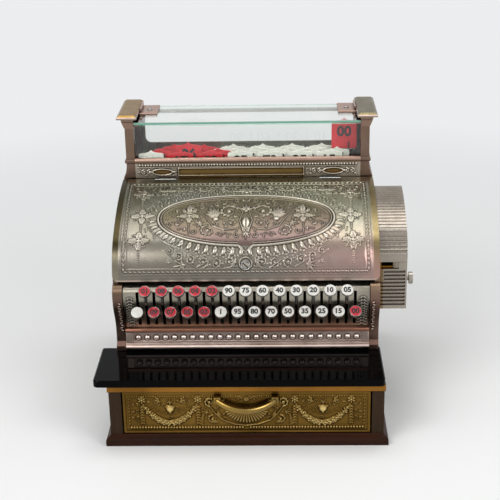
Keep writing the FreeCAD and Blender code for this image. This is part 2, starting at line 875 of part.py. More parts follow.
def pane_top():
    return top_glass_bottom - glass_ledge_thickness - pane_gap


def window_panes():
    """Front and rear upright panes."""
    half = pillar_inner + pane_seat
    panes = []
    for front in (front_pane_front, rear_pane_front):
        panes.append(box(-half, half, front, front + pane_thickness, pane_bottom, pane_top()))
    return panes


def glass_clips():
    """Bent tongues that hold the top glass down, one at each cap."""
    low = top_glass_bottom + top_glass_thickness
    clip = box(cap_inner - clip_width, cap_inner, clip_front, clip_back, low, low + clip_thickness)
    front_edges = [e for e in edges_along_x(clip) if e.CenterOfMass.z > low + 1]
    clip = clip.makeChamfer(clip_bevel, front_edges)
    lug = box(cap_inner - clip_lug, cap_inner, clip_front + clip_lug_inset, clip_back - clip_lug_inset, low,
              neck_top + clip_lug_height)
    clip = fuse(clip, lug)
    return [clip, mirrored(clip)]


def keyboard_plate():
    """Curved plate with one slot for each key."""
    half = half_keyboard - plate_side_gap
    back = plate_line(plate_inset + plate_thickness)
    plate = polygon_prism(plate_line(plate_inset) + back[::-1], -half, half)
    slots = []
    for x in key_places():
        slots.append(box(x - slot_width / 2, x + slot_width / 2, bulge_front - 5, waist_front + 20,
                         slot_bottom, slot_top))
    return plate.cut(Part.makeCompound(slots))


def key_places():
    """Every key from left to right: the two rows take turns."""
    count = upper_keys + lower_keys
    return [(i - (count - 1) / 2) * key_pitch / 2 for i in range(count)]


def lower_rail():
    """Rail with a bead along its foot, a flat field and a lip along its top."""
    bead_y = lower_rail_field - lower_rail_step
    bead_end = lower_rail_bottom + 2 * lower_rail_bead
    outline_edges = line_edges([(lower_rail_back, lower_rail_bottom), (bead_y, lower_rail_bottom)])
    outline_edges.append(arc_edge((bead_y, lower_rail_bottom + lower_rail_bead), lower_rail_bead, -90, 90))
    field_low = bead_end + lower_rail_cove
    field_high = lower_rail_top - lower_rail_lip
    bevel = lower_rail_bevel
    rest = [(bead_y, bead_end), (lower_rail_field, field_low), (lower_rail_field, field_high),
            (lower_rail_front, field_high + bevel), (lower_rail_front, lower_rail_top - bevel),
            (lower_rail_front + bevel, lower_rail_top), (lower_rail_back, lower_rail_top),
            (lower_rail_back, lower_rail_bottom)]
    outline_edges += line_edges(rest)
    return prism(outline_edges, -half_keyboard, half_keyboard)


def key_shaft():
    return rod_x(key_shaft_radius, -half_inner, half_inner, key_pivot_back, key_pivot_height)


def cap_direction():
    return point(0, -math.cos(radians(cap_tilt)), math.sin(radians(cap_tilt)))


def cap_disc(centre):
    """Round cap, drawn with many sides; its face is square to the cap's direction."""
    out = cap_direction()
    back = centre - out * cap_thickness
    side = point(1, 0, 0)
    up = out.cross(side)
    corners = []
    for i in range(cap_sides):
        turn = 2 * math.pi * i / cap_sides
        corners.append(back + side * (cap_radius * math.cos(turn)) + up * (cap_radius * math.sin(turn)))
    return Part.Face(Part.makePolygon(corners + corners[:1])).extrude(out * cap_thickness)


def key(x, upper):
    """Round cap on a flat lever, which hooks over the shaft and has a long tail behind."""
    out = cap_direction()
    if upper:
        centre = point(x, upper_cap_front, upper_cap_height)
    else:
        centre = point(x, lower_cap_front, lower_cap_height)
    back = centre - out * cap_thickness
    inside = back + out * stem_sink
    stem_low = (inside.y - stem_half * out.z, inside.z + stem_half * out.y)
    stem_high = (inside.y + stem_half * out.z, inside.z - stem_half * out.y)
    low = tail_top - tail_depth
    eye = key_shaft_radius + key_eye_wall
    eye_low = (key_pivot_back - eye, low)
    eye_front = (key_pivot_back - eye, key_pivot_height + eye)
    eye_back = (key_pivot_back + eye, key_pivot_height + eye)
    bends = upper_lever_bends if upper else lower_lever_bends
    fore, waist, rear = [(centre.y + forward, centre.z + up) for forward, up in bends]
    outline = [stem_low, fore, waist, eye_low, (tail_back, low), (tail_back, tail_top)]
    outline += [(key_pivot_back + eye, tail_top), eye_back, eye_front, rear, stem_high]
    half = lever_thickness / 2
    lever = polygon_prism(outline, x - half, x + half)
    gap = key_shaft_radius + running_gap
    throat = box(x - half - 1, x + half + 1, key_pivot_back - gap, key_pivot_back + gap, low - 1,
                 key_pivot_height + gap)
    return fuse(lever.cut(throat), cap_disc(centre))


def flag_place(index):
    """The rod's place and the middle of the flag, for a key counted from the left."""
    x = key_places()[index]
    y = flag_row_front + flag_row_spacing * (index % flag_rows)
    return x, y, x * flag_spread


def flag(index, lift, rod_foot, extra=0.0):
    """Peaked plate on a square rod; the plate rests on the guide when it is down."""
    x, y, middle = flag_place(index)
    half = flag_width / 2
    low = flag_peak - flag_height + lift
    top = flag_peak + lift + extra
    shoulder = top - flag_shoulder_drop
    face_y = y - flag_thickness / 2
    outline = [(middle + half, low), (middle + half, shoulder), (middle, top), (middle - half, shoulder),
               (middle - half, low)]
    plate = front_prism(outline, face_y, face_y + flag_thickness)
    rod = box(x - rod_width / 2, x + rod_width / 2, face_y, face_y + rod_depth, rod_foot + lift,
              low + rod_overlap)
    return fuse(plate, rod)


def flag_guide():
    """Pierced block between end plates, with the bar that the key tails rest on."""
    top = flag_peak - flag_height
    block = box(-comb_end - 1, comb_end + 1, comb_front, comb_back, top - comb_thickness, top)
    holes = []
    for index in range(upper_keys + lower_keys):
        x, y, _ = flag_place(index)
        y0 = y - flag_thickness / 2
        holes.append(box(x - rod_width / 2 - rod_side_gap, x + rod_width / 2 + rod_side_gap,
                         y0 - rod_side_gap, y0 + rod_depth + rod_side_gap, top - comb_thickness - 1, top + 1))
    bar_top = tail_top - tail_depth
    bar_low = bar_top - rest_bar_height
    end = box(comb_end, half_inner, comb_front, comb_back, bar_low, top)
    wall = comb_end_wall
    pocket = box(comb_end + wall, half_inner + 1, comb_front + wall, comb_back - wall, bar_top, top - wall)
    end = end.cut(pocket)
    bar = box(-comb_end - 1, comb_end + 1, rest_bar_front, rest_bar_front + rest_bar_depth, bar_low, bar_top)
    return fuse(block.cut(Part.makeCompound(holes)), end, mirrored(end), bar)


def printer_housing():
    """Open-topped lower case with ribs across its front, an inner wall and the paper spindle."""
    wall = printer_wall
    top = cover_bottom - cover_gap
    lower_top = cover_bottom - throat_height
    outer = box(printer_inner, printer_outer, printer_front, printer_back, printer_bottom, top)
    hollow = box(printer_inner + wall, printer_outer - wall, printer_front + 2 * rib_depth,
                 printer_back - wall, printer_bottom + wall, top + 1)
    throat = box(printer_inner + wall, throat_right, printer_front - 1, printer_front + 3 * rib_depth,
                 lower_top, top + 1)
    case = outer.cut(hollow).cut(throat)
    grooves = []
    left = printer_inner + rib_margin
    right = printer_outer - rib_margin
    for i in range(rib_count):
        high = lower_top - rib_width - i * rib_pitch
        low = high - (rib_pitch - rib_width)
        grooves.append(box(left, right, printer_front - 1, printer_front + rib_depth, low, high))
    notch_top = lower_top - rib_width
    grooves.append(box(left, left + notch_width, printer_front - 1, printer_front + rib_depth,
                       notch_top - notch_ribs * rib_pitch, notch_top))
    case = case.cut(Part.makeCompound(grooves))
    inset = wall + inner_wall_gap
    inner_line = cover_sweep.edges(inset)
    corner = cover_sweep.at(cover_end_turn, inset)
    start = cover_sweep.at(0, inset)
    rest = [corner, (corner[0], top - 1), (start[0], top - 1), start]
    inner_wall = prism(inner_line + line_edges(rest), printer_inner, printer_inner + wall)
    spindle = rod_x(spool_radius, printer_inner + 1, printer_inner + wall + 2 * roll_side_gap + roll_width,
                    roll_back, roll_height)
    margin = pad_margin
    pad = box(half_body, printer_inner + 1, printer_front + margin, printer_back - margin,
              printer_bottom + margin, lower_top - margin)
    lug_y = printer_back + cover_hinge_radius + cover_gap
    lug_z = cover_bottom - cover_hinge_radius - 1
    shaft_hole = rod_x(feed_roller_radius + running_gap, printer_inner - 1, printer_outer + 1, feed_back,
                       feed_height)
    lug_width = cover_hinge_margin - knuckle_side_gap - 1
    left_lug = hinge_lug(lug_y, lug_z, printer_inner + 1, lug_width)
    right_lug = hinge_lug(lug_y, lug_z, printer_outer - 1 - lug_width, lug_width)
    pin_inset = 1 + lug_width / 2
    pin = rod_x(cover_pin_radius, printer_inner + pin_inset, printer_outer - pin_inset, lug_y, lug_z)
    return fuse(case.cut(shaft_hole), inner_wall, spindle, pad.cut(shaft_hole), left_lug, right_lug, pin)


def hinge_lug(y, z, x0, width):
    """A lug that holds one end of the cover's pin, with a web forward to the case."""
    half = cover_hinge_radius
    lug = box(x0, x0 + width, y - half, y + half, z - half, z + half)
    return lug.fuse(box(x0, x0 + width, printer_back - 1, y, z - half + 0.8, z - 0.4))


def hinge_eye(y, z, x0, x1):
    """The cover's bored eye, with an arm up and forward to the cover's back wall."""
    half = cover_hinge_radius
    low = cover_bottom + cover_gap
    high = low + cover_gap + half
    eye = rod_x(half, x0, x1, y, z)
    arm = box(x0, x1, printer_back + cover_gap, y, z, high)
    web = box(x0, x1, printer_back - 1, y, low, high)
    bore = rod_x(cover_pin_radius + running_gap, x0 - 1, x1 + 1, y, z)
    return eye.fuse([arm, web]).cut(bore)


def flute_outline(turn):
    """A groove across the cover, narrower at its floor than at the skin."""
    y, z = cover_sweep.at(turn)
    out = (-math.cos(radians(turn)), math.sin(radians(turn)))
    along = (out[1], -out[0])
    corners = [(-flute_mouth, 0.0), (-flute_floor, -flute_depth), (flute_floor, -flute_depth)]
    corners += [(flute_mouth, 0.0), (flute_mouth, 1.0), (-flute_mouth, 1.0)]
    line = []
    for across, rise in corners:
        line.append((y + across * along[0] + rise * out[0], z + across * along[1] + rise * out[1]))
    return line


def printer_cover():
    """Fluted lid over the paper roll, hinged along its back edge."""
    wall = printer_wall
    inset = wall
    front_low = [(printer_front, cover_bottom), cover_sweep.at(0)]
    top_back = cover_sweep.at(cover_end_turn)
    rear_top = (printer_back, top_back[1] - cover_rear_drop)
    rear = [top_back, rear_top, (printer_back, cover_bottom), (printer_front, cover_bottom)]
    outline = line_edges(front_low) + cover_sweep.edges() + line_edges(rear)
    solid = prism(outline, printer_inner, printer_outer)
    inner_top = cover_sweep.at(cover_end_turn, inset)
    inner_low = [(printer_front + wall, cover_bottom - 1), cover_sweep.at(0, inset)]
    inner_rear = [inner_top, (printer_back - wall, inner_top[1] - cover_rear_drop),
                  (printer_back - wall, cover_bottom - 1), (printer_front + wall, cover_bottom - 1)]
    hollow = prism(line_edges(inner_low) + cover_sweep.edges(inset) + line_edges(inner_rear),
                   printer_inner - 1, printer_outer - wall)
    shell = solid.cut(hollow)
    flutes = []
    for i in range(flute_count):
        turn = cover_sweep.turn_at(flute_pitch * (i + 1.5))
        flutes.append(polygon_prism(flute_outline(turn), printer_inner - 1, printer_outer + 1))
    shell = shell.cut(Part.makeCompound(flutes))
    eye_y = printer_back + cover_hinge_radius + cover_gap
    eye_z = cover_bottom - cover_hinge_radius - 1
    eye = hinge_eye(eye_y, eye_z, printer_inner + cover_hinge_margin, printer_outer - cover_hinge_margin)
    return fuse(shell, eye)


def paper_roll():
    start = printer_inner + printer_wall + roll_side_gap
    roll = rod_x(roll_radius, start, start + roll_width, roll_back, roll_height)
    core = rod_x(spool_radius + running_gap, start - 1, start + roll_width + 1, roll_back, roll_height)
    return roll.cut(core)


def feed_knob():
    """Outer disc on the end of the roller that feeds the paper."""
    start = printer_inner - feed_roller_reach
    end = feed_knob_side + feed_knob_thickness
    roller = rod_x(feed_roller_radius, start, feed_knob_side + 1, feed_back, feed_height)
    return fuse(roller, rod_x(feed_knob_radius, feed_knob_side, end, feed_back, feed_height))


def make_parts():
    keep("base_board", base_board())
    keep("drawer_case", drawer_case())
    keep("drawer_top_rail", drawer_top_rail())
    keep("counter_slab", counter_slab())
    keep("drawer_front", drawer_front())
    keep("drawer_pull", drawer_pull())
    keep("drawer_box", drawer_box())
    keep("coin_tray", coin_tray())
    keep("machine_base", machine_base())
    panel = right_side_panel()
    keep("right_side_panel", panel)
    keep("left_side_panel", mirrored(panel))
    keep("back_cover", back_cover())
    keep("hood", hood())
    keep("hood_hinge_rod", hood_hinge_rod())
    keep("hood_lock", hood_lock())
    keep("keyboard_plate", keyboard_plate())
    keep("lower_rail", lower_rail())
    keep("top_rail", top_rail())
    pillar = right_pillar()
    keep("right_pillar", pillar)
    keep("left_pillar", mirrored(pillar))
    keep("top_glass", top_glass())
    keep("window_panes", *window_panes())
    keep("glass_clips", *glass_clips())
    keep("key_shaft", key_shaft())
    keep("flag_guide", flag_guide())
    keep("printer_housing", printer_housing())
    keep("printer_cover", printer_cover())
    keep("paper_roll", paper_roll())
    keep("feed_knob", feed_knob())
    resting = []
    full_foot = tail_top + rod_foot_gap
    last = upper_keys + lower_keys - 1
    for index, x in enumerate(key_places()):
        upper = index % 2 == 1
        row = "upper" if upper else "lower"
        keep(f"{row}_key_{index // 2 + 1:02d}", key(x, upper))
        if index == last:
            keep("raised_flag", flag(index, flag_raise, full_foot))
        elif index == keyed_index:
            keep("keyed_flag", flag(index, 0, full_foot))
        else:
            extra = tall_flag_extra if index in tall_flags else 0
            resting.append(flag(index, 0, resting_rod_foot, extra))
    keep("resting_flags", *resting)


make_parts()
os.makedirs("parts", exist_ok=True)
for name, shape in sorted(parts.items()):
    shape.exportStep(f"parts/{name}.step")
print(len(parts), "parts")
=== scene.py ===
from math import atan, atan2, copysign, cos, hypot, pi, radians, sin

import bpy
import numpy as np
from mathutils import Matrix, Vector


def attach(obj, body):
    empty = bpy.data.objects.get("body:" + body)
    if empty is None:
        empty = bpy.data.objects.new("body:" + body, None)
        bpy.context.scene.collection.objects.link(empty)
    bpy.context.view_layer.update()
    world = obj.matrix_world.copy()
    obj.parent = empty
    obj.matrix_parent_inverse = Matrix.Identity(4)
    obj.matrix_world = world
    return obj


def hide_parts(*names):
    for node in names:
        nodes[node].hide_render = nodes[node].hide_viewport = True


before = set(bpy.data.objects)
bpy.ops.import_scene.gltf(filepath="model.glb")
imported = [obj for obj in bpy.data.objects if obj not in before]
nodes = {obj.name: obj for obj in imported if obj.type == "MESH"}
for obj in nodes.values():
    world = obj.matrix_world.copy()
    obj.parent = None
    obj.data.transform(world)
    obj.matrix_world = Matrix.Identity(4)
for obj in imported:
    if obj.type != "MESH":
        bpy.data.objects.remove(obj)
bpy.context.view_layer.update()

MM = 0.001
scene = bpy.context.scene

scene.view_settings.view_transform = "Standard"

# Sizes and places, in millimetres. Those of the main shapes repeat the CAD part's.
HOOD_LIP = (-106.0, 232.5)
HOOD_END = (84.0, 338.0)
HOOD_TURNS = (60.0, 88.0)
HOOD_HALF = 207.3
LOCK_CENTRE = (-101.742, 256.646)
LOCK_TURN = radians(20)
LOCK_RISE = 1.2
LOCK_SLOT_TURN = radians(-42)

# Keys
KEY_COUNT = 27
KEY_PITCH = 26.0
KEY_TILT = radians(50)
UPPER_CAP = (-125.0, 224.7)
LOWER_CAP = (-127.0, 190.1)

# Cheeks, keyboard plate and lower rail
BULGE = (-118.5, 213.0)
WAIST = (-98.0, 142.0)
BROW_RADIUS = 15.5
ARC_POINTS = 14
PLATE_INSET = 4.0
PLATE_THICKNESS = 2.5
PLATE_HALF = 191.5
PLATE_BACK = -89.0
PLATE_FOOT = 140.0
PLATE_CHAIN = 181.0
CHEEK_CHAIN = 197.6
SLOT_HALF = 2.3
SLOT_LOW = 154.0
SLOT_HIGH = 218.0
RAIL_FIELD = -99.5
RAIL_FIELD_LOW = 125.5
RAIL_FIELD_HIGH = 143.5
RAIL_BOSSES = 25
BOSS_PITCH = 14.4

# Top rail, pillars and ticket printer
TOP_RAIL_FRONT = 87.0
TOP_RAIL_EDGE = 363.5
PANEL_LEFT = -115.0
PANEL_RIGHT = 93.0
PANEL_LOW = 342.5
PANEL_HIGH = 355.0
END_OVAL = (142.0, 348.6)
CAPITAL_FOOT = 423.5
CAPITAL_RIM = 438.6
PILLAR_CAP = 442.3
PILLAR_FRONT = 87.4
PILLAR_SIDE = 205.9
DENTIL_HEIGHT = 436.4
CLIP_SCREW = (166.0, 158.0, 437.5)
THROAT_FOOT = 233.3

# Flags
KEYED_FLAG = 21
FLAG_ROW_FRONT = 104.0
FLAG_ROW_STEP = 11.0
FLAG_SPREAD = 0.955
FLAG_PEAK = 382.4
FLAG_HEIGHT = 50.0
FLAG_HALF = 21.0
FLAG_THICKNESS = 1.2
FLAG_BEVEL = 0.18
FLAG_SHOULDER = 9.0
FLAG_CORNER = 3.2
FLAG_EXTRA = {3: 1.0, 5: 10.0}
FLAG_RAISE = 42.8
ROD_HALF = 1.5
ROD_DEPTH = 4.0
RESTING_ROD_FOOT = 252.0
MOVING_ROD_FOOT = 203.4

# Places where a colour changes
COPPER_EDGE = 144.0
CASE_STRIP = (215.7, 233.0)
HOOD_STRIP = (198.0, 234.85)


def rgb(text):
    """A colour written as sRGB hex, as linear values."""
    values = [int(text[i:i + 2], 16) / 255 for i in (0, 2, 4)]
    return [v / 12.92 if v <= 0.04045 else ((v + 0.055) / 1.055) ** 2.4 for v in values] + [1.0]


# Materials
class Nodes:
    """A short way to lay out a material's nodes."""

    def __init__(self, name):
        self.material = bpy.data.materials.new(name)
        self.material.use_nodes = True
        self.tree = self.material.node_tree
        self.shader = self.tree.nodes["Principled BSDF"]
        self.coords = self.add("ShaderNodeTexCoord").outputs["Object"]

    def add(self, kind, **settings):
        node = self.tree.nodes.new(kind)
        for key, value in settings.items():
            setattr(node, key, value)
        return node

    def link(self, source, target):
        self.tree.links.new(source, target)

    def noise(self, scale, detail=4.0, rough=0.55, stretch=None, distortion=0.0):
        node = self.add("ShaderNodeTexNoise")
        node.inputs["Scale"].default_value = scale
        node.inputs["Detail"].default_value = detail
        node.inputs["Roughness"].default_value = rough
        node.inputs["Distortion"].default_value = distortion
        source = self.coords
        if stretch:
            mapping = self.add("ShaderNodeMapping")
            mapping.inputs["Scale"].default_value = stretch
            self.link(source, mapping.inputs["Vector"])
            source = mapping.outputs["Vector"]
        self.link(source, node.inputs["Vector"])
        return node.outputs["Fac"]

    def remap(self, value, low, high, new_low=0.0, new_high=1.0):
        node = self.add("ShaderNodeMapRange")
        ends = {"From Min": low, "From Max": high, "To Min": new_low, "To Max": new_high}
        for key, number in ends.items():
            node.inputs[key].default_value = number
        self.link(value, node.inputs["Value"])
        return node.outputs["Result"]

    def step(self, value, at, width, rising=True):
        """A short blend around a place, up or down; the place and the width are in millimetres."""
        ends = (0.0, 1.0) if rising else (1.0, 0.0)
        return self.remap(value, (at - width / 2) * MM, (at + width / 2) * MM, *ends)

    def absolute(self, value):
        return self.math("ABSOLUTE", value, 0.0)

    def math(self, operation, a, b):
        node = self.add("ShaderNodeMath", operation=operation)
        for socket, value in zip(node.inputs, (a, b)):
            if isinstance(value, (int, float)):
                socket.default_value = value
            else:
                self.link(value, socket)
        return node.outputs["Value"]

    def mix(self, factor, a, b):
        """Blends two colours, each a hex text or another node's output."""
        node = self.add("ShaderNodeMix", data_type="RGBA")
        node.clamp_factor = True
        self.link(factor, node.inputs[0])
        for socket, value in ((node.inputs[6], a), (node.inputs[7], b)):
            if isinstance(value, str):
                socket.default_value = rgb(value)
            else:
                self.link(value, socket)
        return node.outputs[2]

    def attribute(self, name):
        return self.add("ShaderNodeAttribute", attribute_name=name).outputs["Fac"]

    def axis(self, name):
        split = self.add("ShaderNodeSeparateXYZ")
        self.link(self.coords, split.inputs[0])
        return split.outputs[name]

    def bump(self, height, strength, distance):
        node = self.add("ShaderNodeBump")
        node.inputs["Strength"].default_value = strength
        node.inputs["Distance"].default_value = distance
        self.link(height, node.inputs["Height"])
        self.link(node.outputs["Normal"], self.shader.inputs["Normal"])

    def set(self, **values):
        for key, value in values.items():
            self.shader.inputs[key.replace("_", " ")].default_value = value

    def color(self, source):
        self.link(source, self.shader.inputs["Base Color"])

    def rough(self, source):
        self.link(source, self.shader.inputs["Roughness"])

    def blend(self, factor, second):
        """Mixes a second shader over the main one."""
        both = self.add("ShaderNodeMixShader")
        self.link(factor, both.inputs[0])
        self.link(self.shader.outputs[0], both.inputs[1])
        self.link(second.outputs[0], both.inputs[2])
        self.link(both.outputs[0], self.tree.nodes["Material Output"].inputs["Surface"])


def metal(name, tone, second, dark, rough=0.3, relief=False, bright=None, shade=None, reach=0.006):
    """Worn cast or plated metal: two tones in soft patches and fine scuffs, with painted shade in the
    hollows and corners, and painted highlights on the relief's crests where a bright tone is given.
    """
    m = Nodes(name)
    m.set(Metallic=1.0)
    patches = m.remap(m.noise(9.0, 3.0, 0.5, distortion=0.4), 0.38, 0.66)
    base = m.mix(patches, tone, second)
    if shade:
        base = shade(m, base)
    specks = m.remap(m.noise(420.0, 3.0, 0.7), 0.58, 0.78, 0.0, 0.3)
    base = m.mix(specks, base, dark)
    if relief:
        # Painted highlight: the bright tone on the relief's raised crests.
        if bright:
            crest = m.remap(m.attribute("crest"), 0.35, 0.95, 0.0, 0.85)
            base = m.mix(crest, base, bright)
        # Painted shade: the dark tone in the relief's hollows.
        hollow = m.remap(m.attribute("hollow"), 0.0, 0.8, 0.0, 0.96)
        base = m.mix(hollow, base, dark)
    # Painted shade: ambient occlusion darkens corners, creases and recesses.
    cavity = m.add("ShaderNodeAmbientOcclusion", samples=6)
    cavity.inputs["Distance"].default_value = reach
    shaded = m.remap(cavity.outputs["AO"], 0.3, 0.9, 0.85, 0.0)
    base = m.mix(shaded, base, dark)
    m.color(base)
    m.rough(m.remap(m.noise(60.0, 5.0, 0.65), 0.3, 0.7, rough - 0.06, rough + 0.12))
    m.bump(m.noise(900.0, 2.0, 0.6), 0.15, 0.0002)
    return m.material


def pillar_shade(m, base):
    """Gold patches low on the shaft, a rosy capital with a paler rim, and a cap of gold and olive."""
    height = m.axis("Z")
    patches = m.remap(m.noise(26.0, 3.0, 0.5), 0.45, 0.6, 0.0, 0.6)
    gold = m.math("MULTIPLY", m.remap(height, 0.35, 0.375, 1.0, 0.25), patches)
    base = m.mix(gold, base, "8a7446")
    base = m.mix(m.step(height, CAPITAL_FOOT, 2.0), base, "957a6b")
    base = m.mix(m.step(height, CAPITAL_RIM, 0.6), base, "a8958a")
    cap = m.mix(m.remap(m.axis("X"), -0.1, 0.1), "8a6d3a", "6c6247")
    return m.mix(m.step(height, PILLAR_CAP, 1.0), base, cap)


def rail_shade(m, base):
    """Brass in the plain panel and in the two end ovals, copper on the rounded top edge."""
    height = m.axis("Z")
    beside = m.absolute(m.math("ADD", m.axis("X"), -(PANEL_LEFT + PANEL_RIGHT) / 2 * MM))
    panel = m.math("MULTIPLY", m.step(beside, (PANEL_RIGHT - PANEL_LEFT) / 2, 1.0, rising=False),
                   m.step(height, PANEL_HIGH + 0.5, 0.6, rising=False))
    base = m.mix(panel, base, "8a6f42")
    along = m.math("DIVIDE", m.math("SUBTRACT", m.absolute(m.axis("X")), END_OVAL[0] * MM), 15.5 * MM)
    above = m.math("DIVIDE", m.math("SUBTRACT", height, END_OVAL[1] * MM), 4.5 * MM)
    inside = m.math("ADD", m.math("MULTIPLY", along, along), m.math("MULTIPLY", above, above))
    base = m.mix(m.remap(inside, 0.95, 1.05, 1.0, 0.0), base, "86693f")
    return m.mix(m.step(height, TOP_RAIL_EDGE, 0.6), base, "ab8d7e")


def lower_rail_shade(m, base):
    """The lower rail's top edge keeps its copper."""
    return m.mix(m.step(m.axis("Z"), COPPER_EDGE, 1.0), base, "b5806a")


def case_shade(m, base):
    """Brass shows in a strip at the inner edge of the printer's ribbed front."""
    inner = m.step(m.axis("X"), CASE_STRIP[0], 1.0, rising=False)
    lower = m.step(m.axis("Z"), CASE_STRIP[1], 1.0, rising=False)
    return m.mix(m.math("MULTIPLY", inner, lower), base, "7d6548")


def cheek_shade(m, base):
    """Copper, paler on the brow and darker at the waist, under a dark tone that is stronger on the left,
    where it is painted shade.
    """
    height = m.axis("Z")
    base = m.mix(m.remap(height, 0.205, 0.228, 0.0, 0.75), base, "b3a07a")
    base = m.mix(m.remap(height, 0.13, 0.155, 0.0, 0.5), base, "846a5d")
    # Painted shade: the left cheek is darker than the right, as the light falls.
    return m.mix(m.remap(m.axis("X"), -0.19, 0.19, 0.6, 0.35), base, "463730")


def hood_metal():
    """Nickelled brass: olive towards the top, rosy low on the right, other tones in the edge strips, with
    painted highlights on the relief's crests and painted shade in its hollows.
    """
    m = Nodes("hood_metal")
    m.set(Metallic=1.0)
    height = m.remap(m.axis("Z"), 0.235, 0.335)
    across = m.axis("X")
    wash = m.math("ADD", height, m.remap(m.noise(7.0, 3.0, 0.5, distortion=0.5), 0.3, 0.7, -0.3, 0.3))
    right = m.remap(across, 0.0, 0.19)
    low_tone = m.mix(right, "7f796f", "a78b83")
    high_tone = m.mix(m.remap(across, -0.15, 0.15), "6c6a5a", "898773")
    base = m.mix(m.remap(wash, 0.3, 0.95), low_tone, high_tone)
    cool = m.remap(m.noise(13.0, 3.0, 0.5), 0.52, 0.68, 0.0, 0.6)
    base = m.mix(cool, base, "7f7e76")
    field = m.mix(m.remap(wash, 0.62, 0.95), "6b5a55", "625c48")
    base = m.mix(m.attribute("tint"), base, field)
    bottom = m.step(m.axis("Z"), HOOD_STRIP[1], 0.7, rising=False)
    edges = m.math("MAXIMUM", m.step(m.absolute(across), HOOD_STRIP[0], 1.0), bottom)
    side_low = m.mix(m.remap(across, -0.19, -0.12), "8a8373", "ad8a7f")
    side_high = m.mix(m.remap(across, -0.1, 0.1), "3d3623", "7f7150")
    strips = m.mix(m.remap(height, 0.1, 0.5), side_low, side_high)
    strips = m.mix(bottom, strips, "b8a698")
    base = m.mix(edges, base, strips)
    # Painted highlight on the relief's raised crests.
    crest_highlight = m.remap(m.attribute("crest"), 0.3, 0.9, 0.0, 0.6)
    base = m.mix(crest_highlight, base, "c2bbad")
    # Painted shade in the relief's hollows.
    hollow = m.remap(m.attribute("hollow"), 0.05, 0.9, 0.0, 0.9)
    base = m.mix(hollow, base, "362d24")
    m.color(base)
    m.rough(m.remap(m.noise(60.0, 5.0, 0.65), 0.3, 0.7, 0.24, 0.38))
    m.bump(m.noise(900.0, 2.0, 0.6), 0.12, 0.0002)
    return m.material


def wood(name, dark, light, gloss=0.32, grain=(1.0, 12.0, 14.0)):
    m = Nodes(name)
    fibres = m.noise(9.0, 6.0, 0.7, stretch=grain, distortion=0.8)
    pores = m.remap(m.noise(60.0, 4.0, 0.6, stretch=grain), 0.5, 0.72, 0.0, 0.6)
    base = m.mix(m.remap(fibres, 0.3, 0.7), dark, light)
    base = m.mix(pores, base, "120a07")
    m.color(base)
    m.rough(m.remap(m.noise(30.0, 4.0, 0.6), 0.3, 0.7, gloss - 0.06, gloss + 0.16))
    m.set(Specular_IOR_Level=0.15)
    m.bump(fibres, 0.12, 0.0004)
    return m.material


def slab_black():
    """Black lacquer with faint dust and hairline scuffs."""
    m = Nodes("slab_black")
    dust = m.remap(m.noise(700.0, 2.0, 0.7), 0.68, 0.8, 0.0, 0.35)
    haze = m.remap(m.noise(14.0, 4.0, 0.6, stretch=(1.0, 3.0, 3.0)), 0.45, 0.8, 0.0, 0.25)
    base = m.mix(dust, "040405", "2a2a2c")
    base = m.mix(haze, base, "0b0b0d")
    m.color(base)
    m.rough(m.remap(haze, 0.0, 0.25, 0.05, 0.16))
    m.set(Specular_IOR_Level=0.045)
    m.bump(m.noise(35.0, 3.0, 0.5), 0.02, 0.0004)
    return m.material


def glass(name, flat):
    """Old plate glass: clear, green at its cut edges. Its shadow stays light."""
    m = Nodes(name)
    m.set(Roughness=0.01, IOR=1.45)
    m.shader.inputs["Transmission Weight"].default_value = 1.0
    turned = m.add("ShaderNodeSeparateXYZ")
    coords = m.add("ShaderNodeTexCoord")
    m.link(coords.outputs["Normal"], turned.inputs[0])
    face = m.absolute(turned.outputs[flat])
    clear = m.mix(m.remap(m.noise(6.0), 0.3, 0.7), "f8fbf9", "fcfdfc")
    mask = m.remap(face, 0.6, 0.9)
    m.color(m.mix(mask, "7fb8a2", clear))
    m.link(m.remap(mask, 0.0, 1.0, 0.15, 1.0), m.shader.inputs["Transmission Weight"])
    through = m.add("ShaderNodeBsdfTransparent")
    through.inputs["Color"].default_value = rgb("f2f8f4")
    path = m.add("ShaderNodeLightPath")
    m.blend(path.outputs["Is Shadow Ray"], through)
    return m.material


def enamel(name, tone, second, rough=0.32):
    m = Nodes(name)
    patches = m.remap(m.noise(140.0, 4.0, 0.6), 0.35, 0.7)
    base = m.mix(patches, tone, second)
    chips = m.remap(m.noise(800.0, 2.0, 0.6), 0.7, 0.78, 0.0, 0.5)
    m.color(m.mix(chips, base, "3a302a"))
    m.rough(m.remap(m.noise(90.0), 0.3, 0.7, rough - 0.06, rough + 0.1))
    m.bump(m.noise(160.0, 3.0, 0.5), 0.08, 0.0003)
    return m.material


def paper():
    m = Nodes("ticket_paper")
    rings = m.noise(500.0, 2.0, 0.6, stretch=(0.2, 1.0, 1.0))
    m.color(m.mix(m.remap(rings, 0.35, 0.65), "e9e3d2", "d5ccb6"))
    m.set(Roughness=0.85)
    m.bump(rings, 0.2, 0.0003)
    return m.material


HOOD = hood_metal()
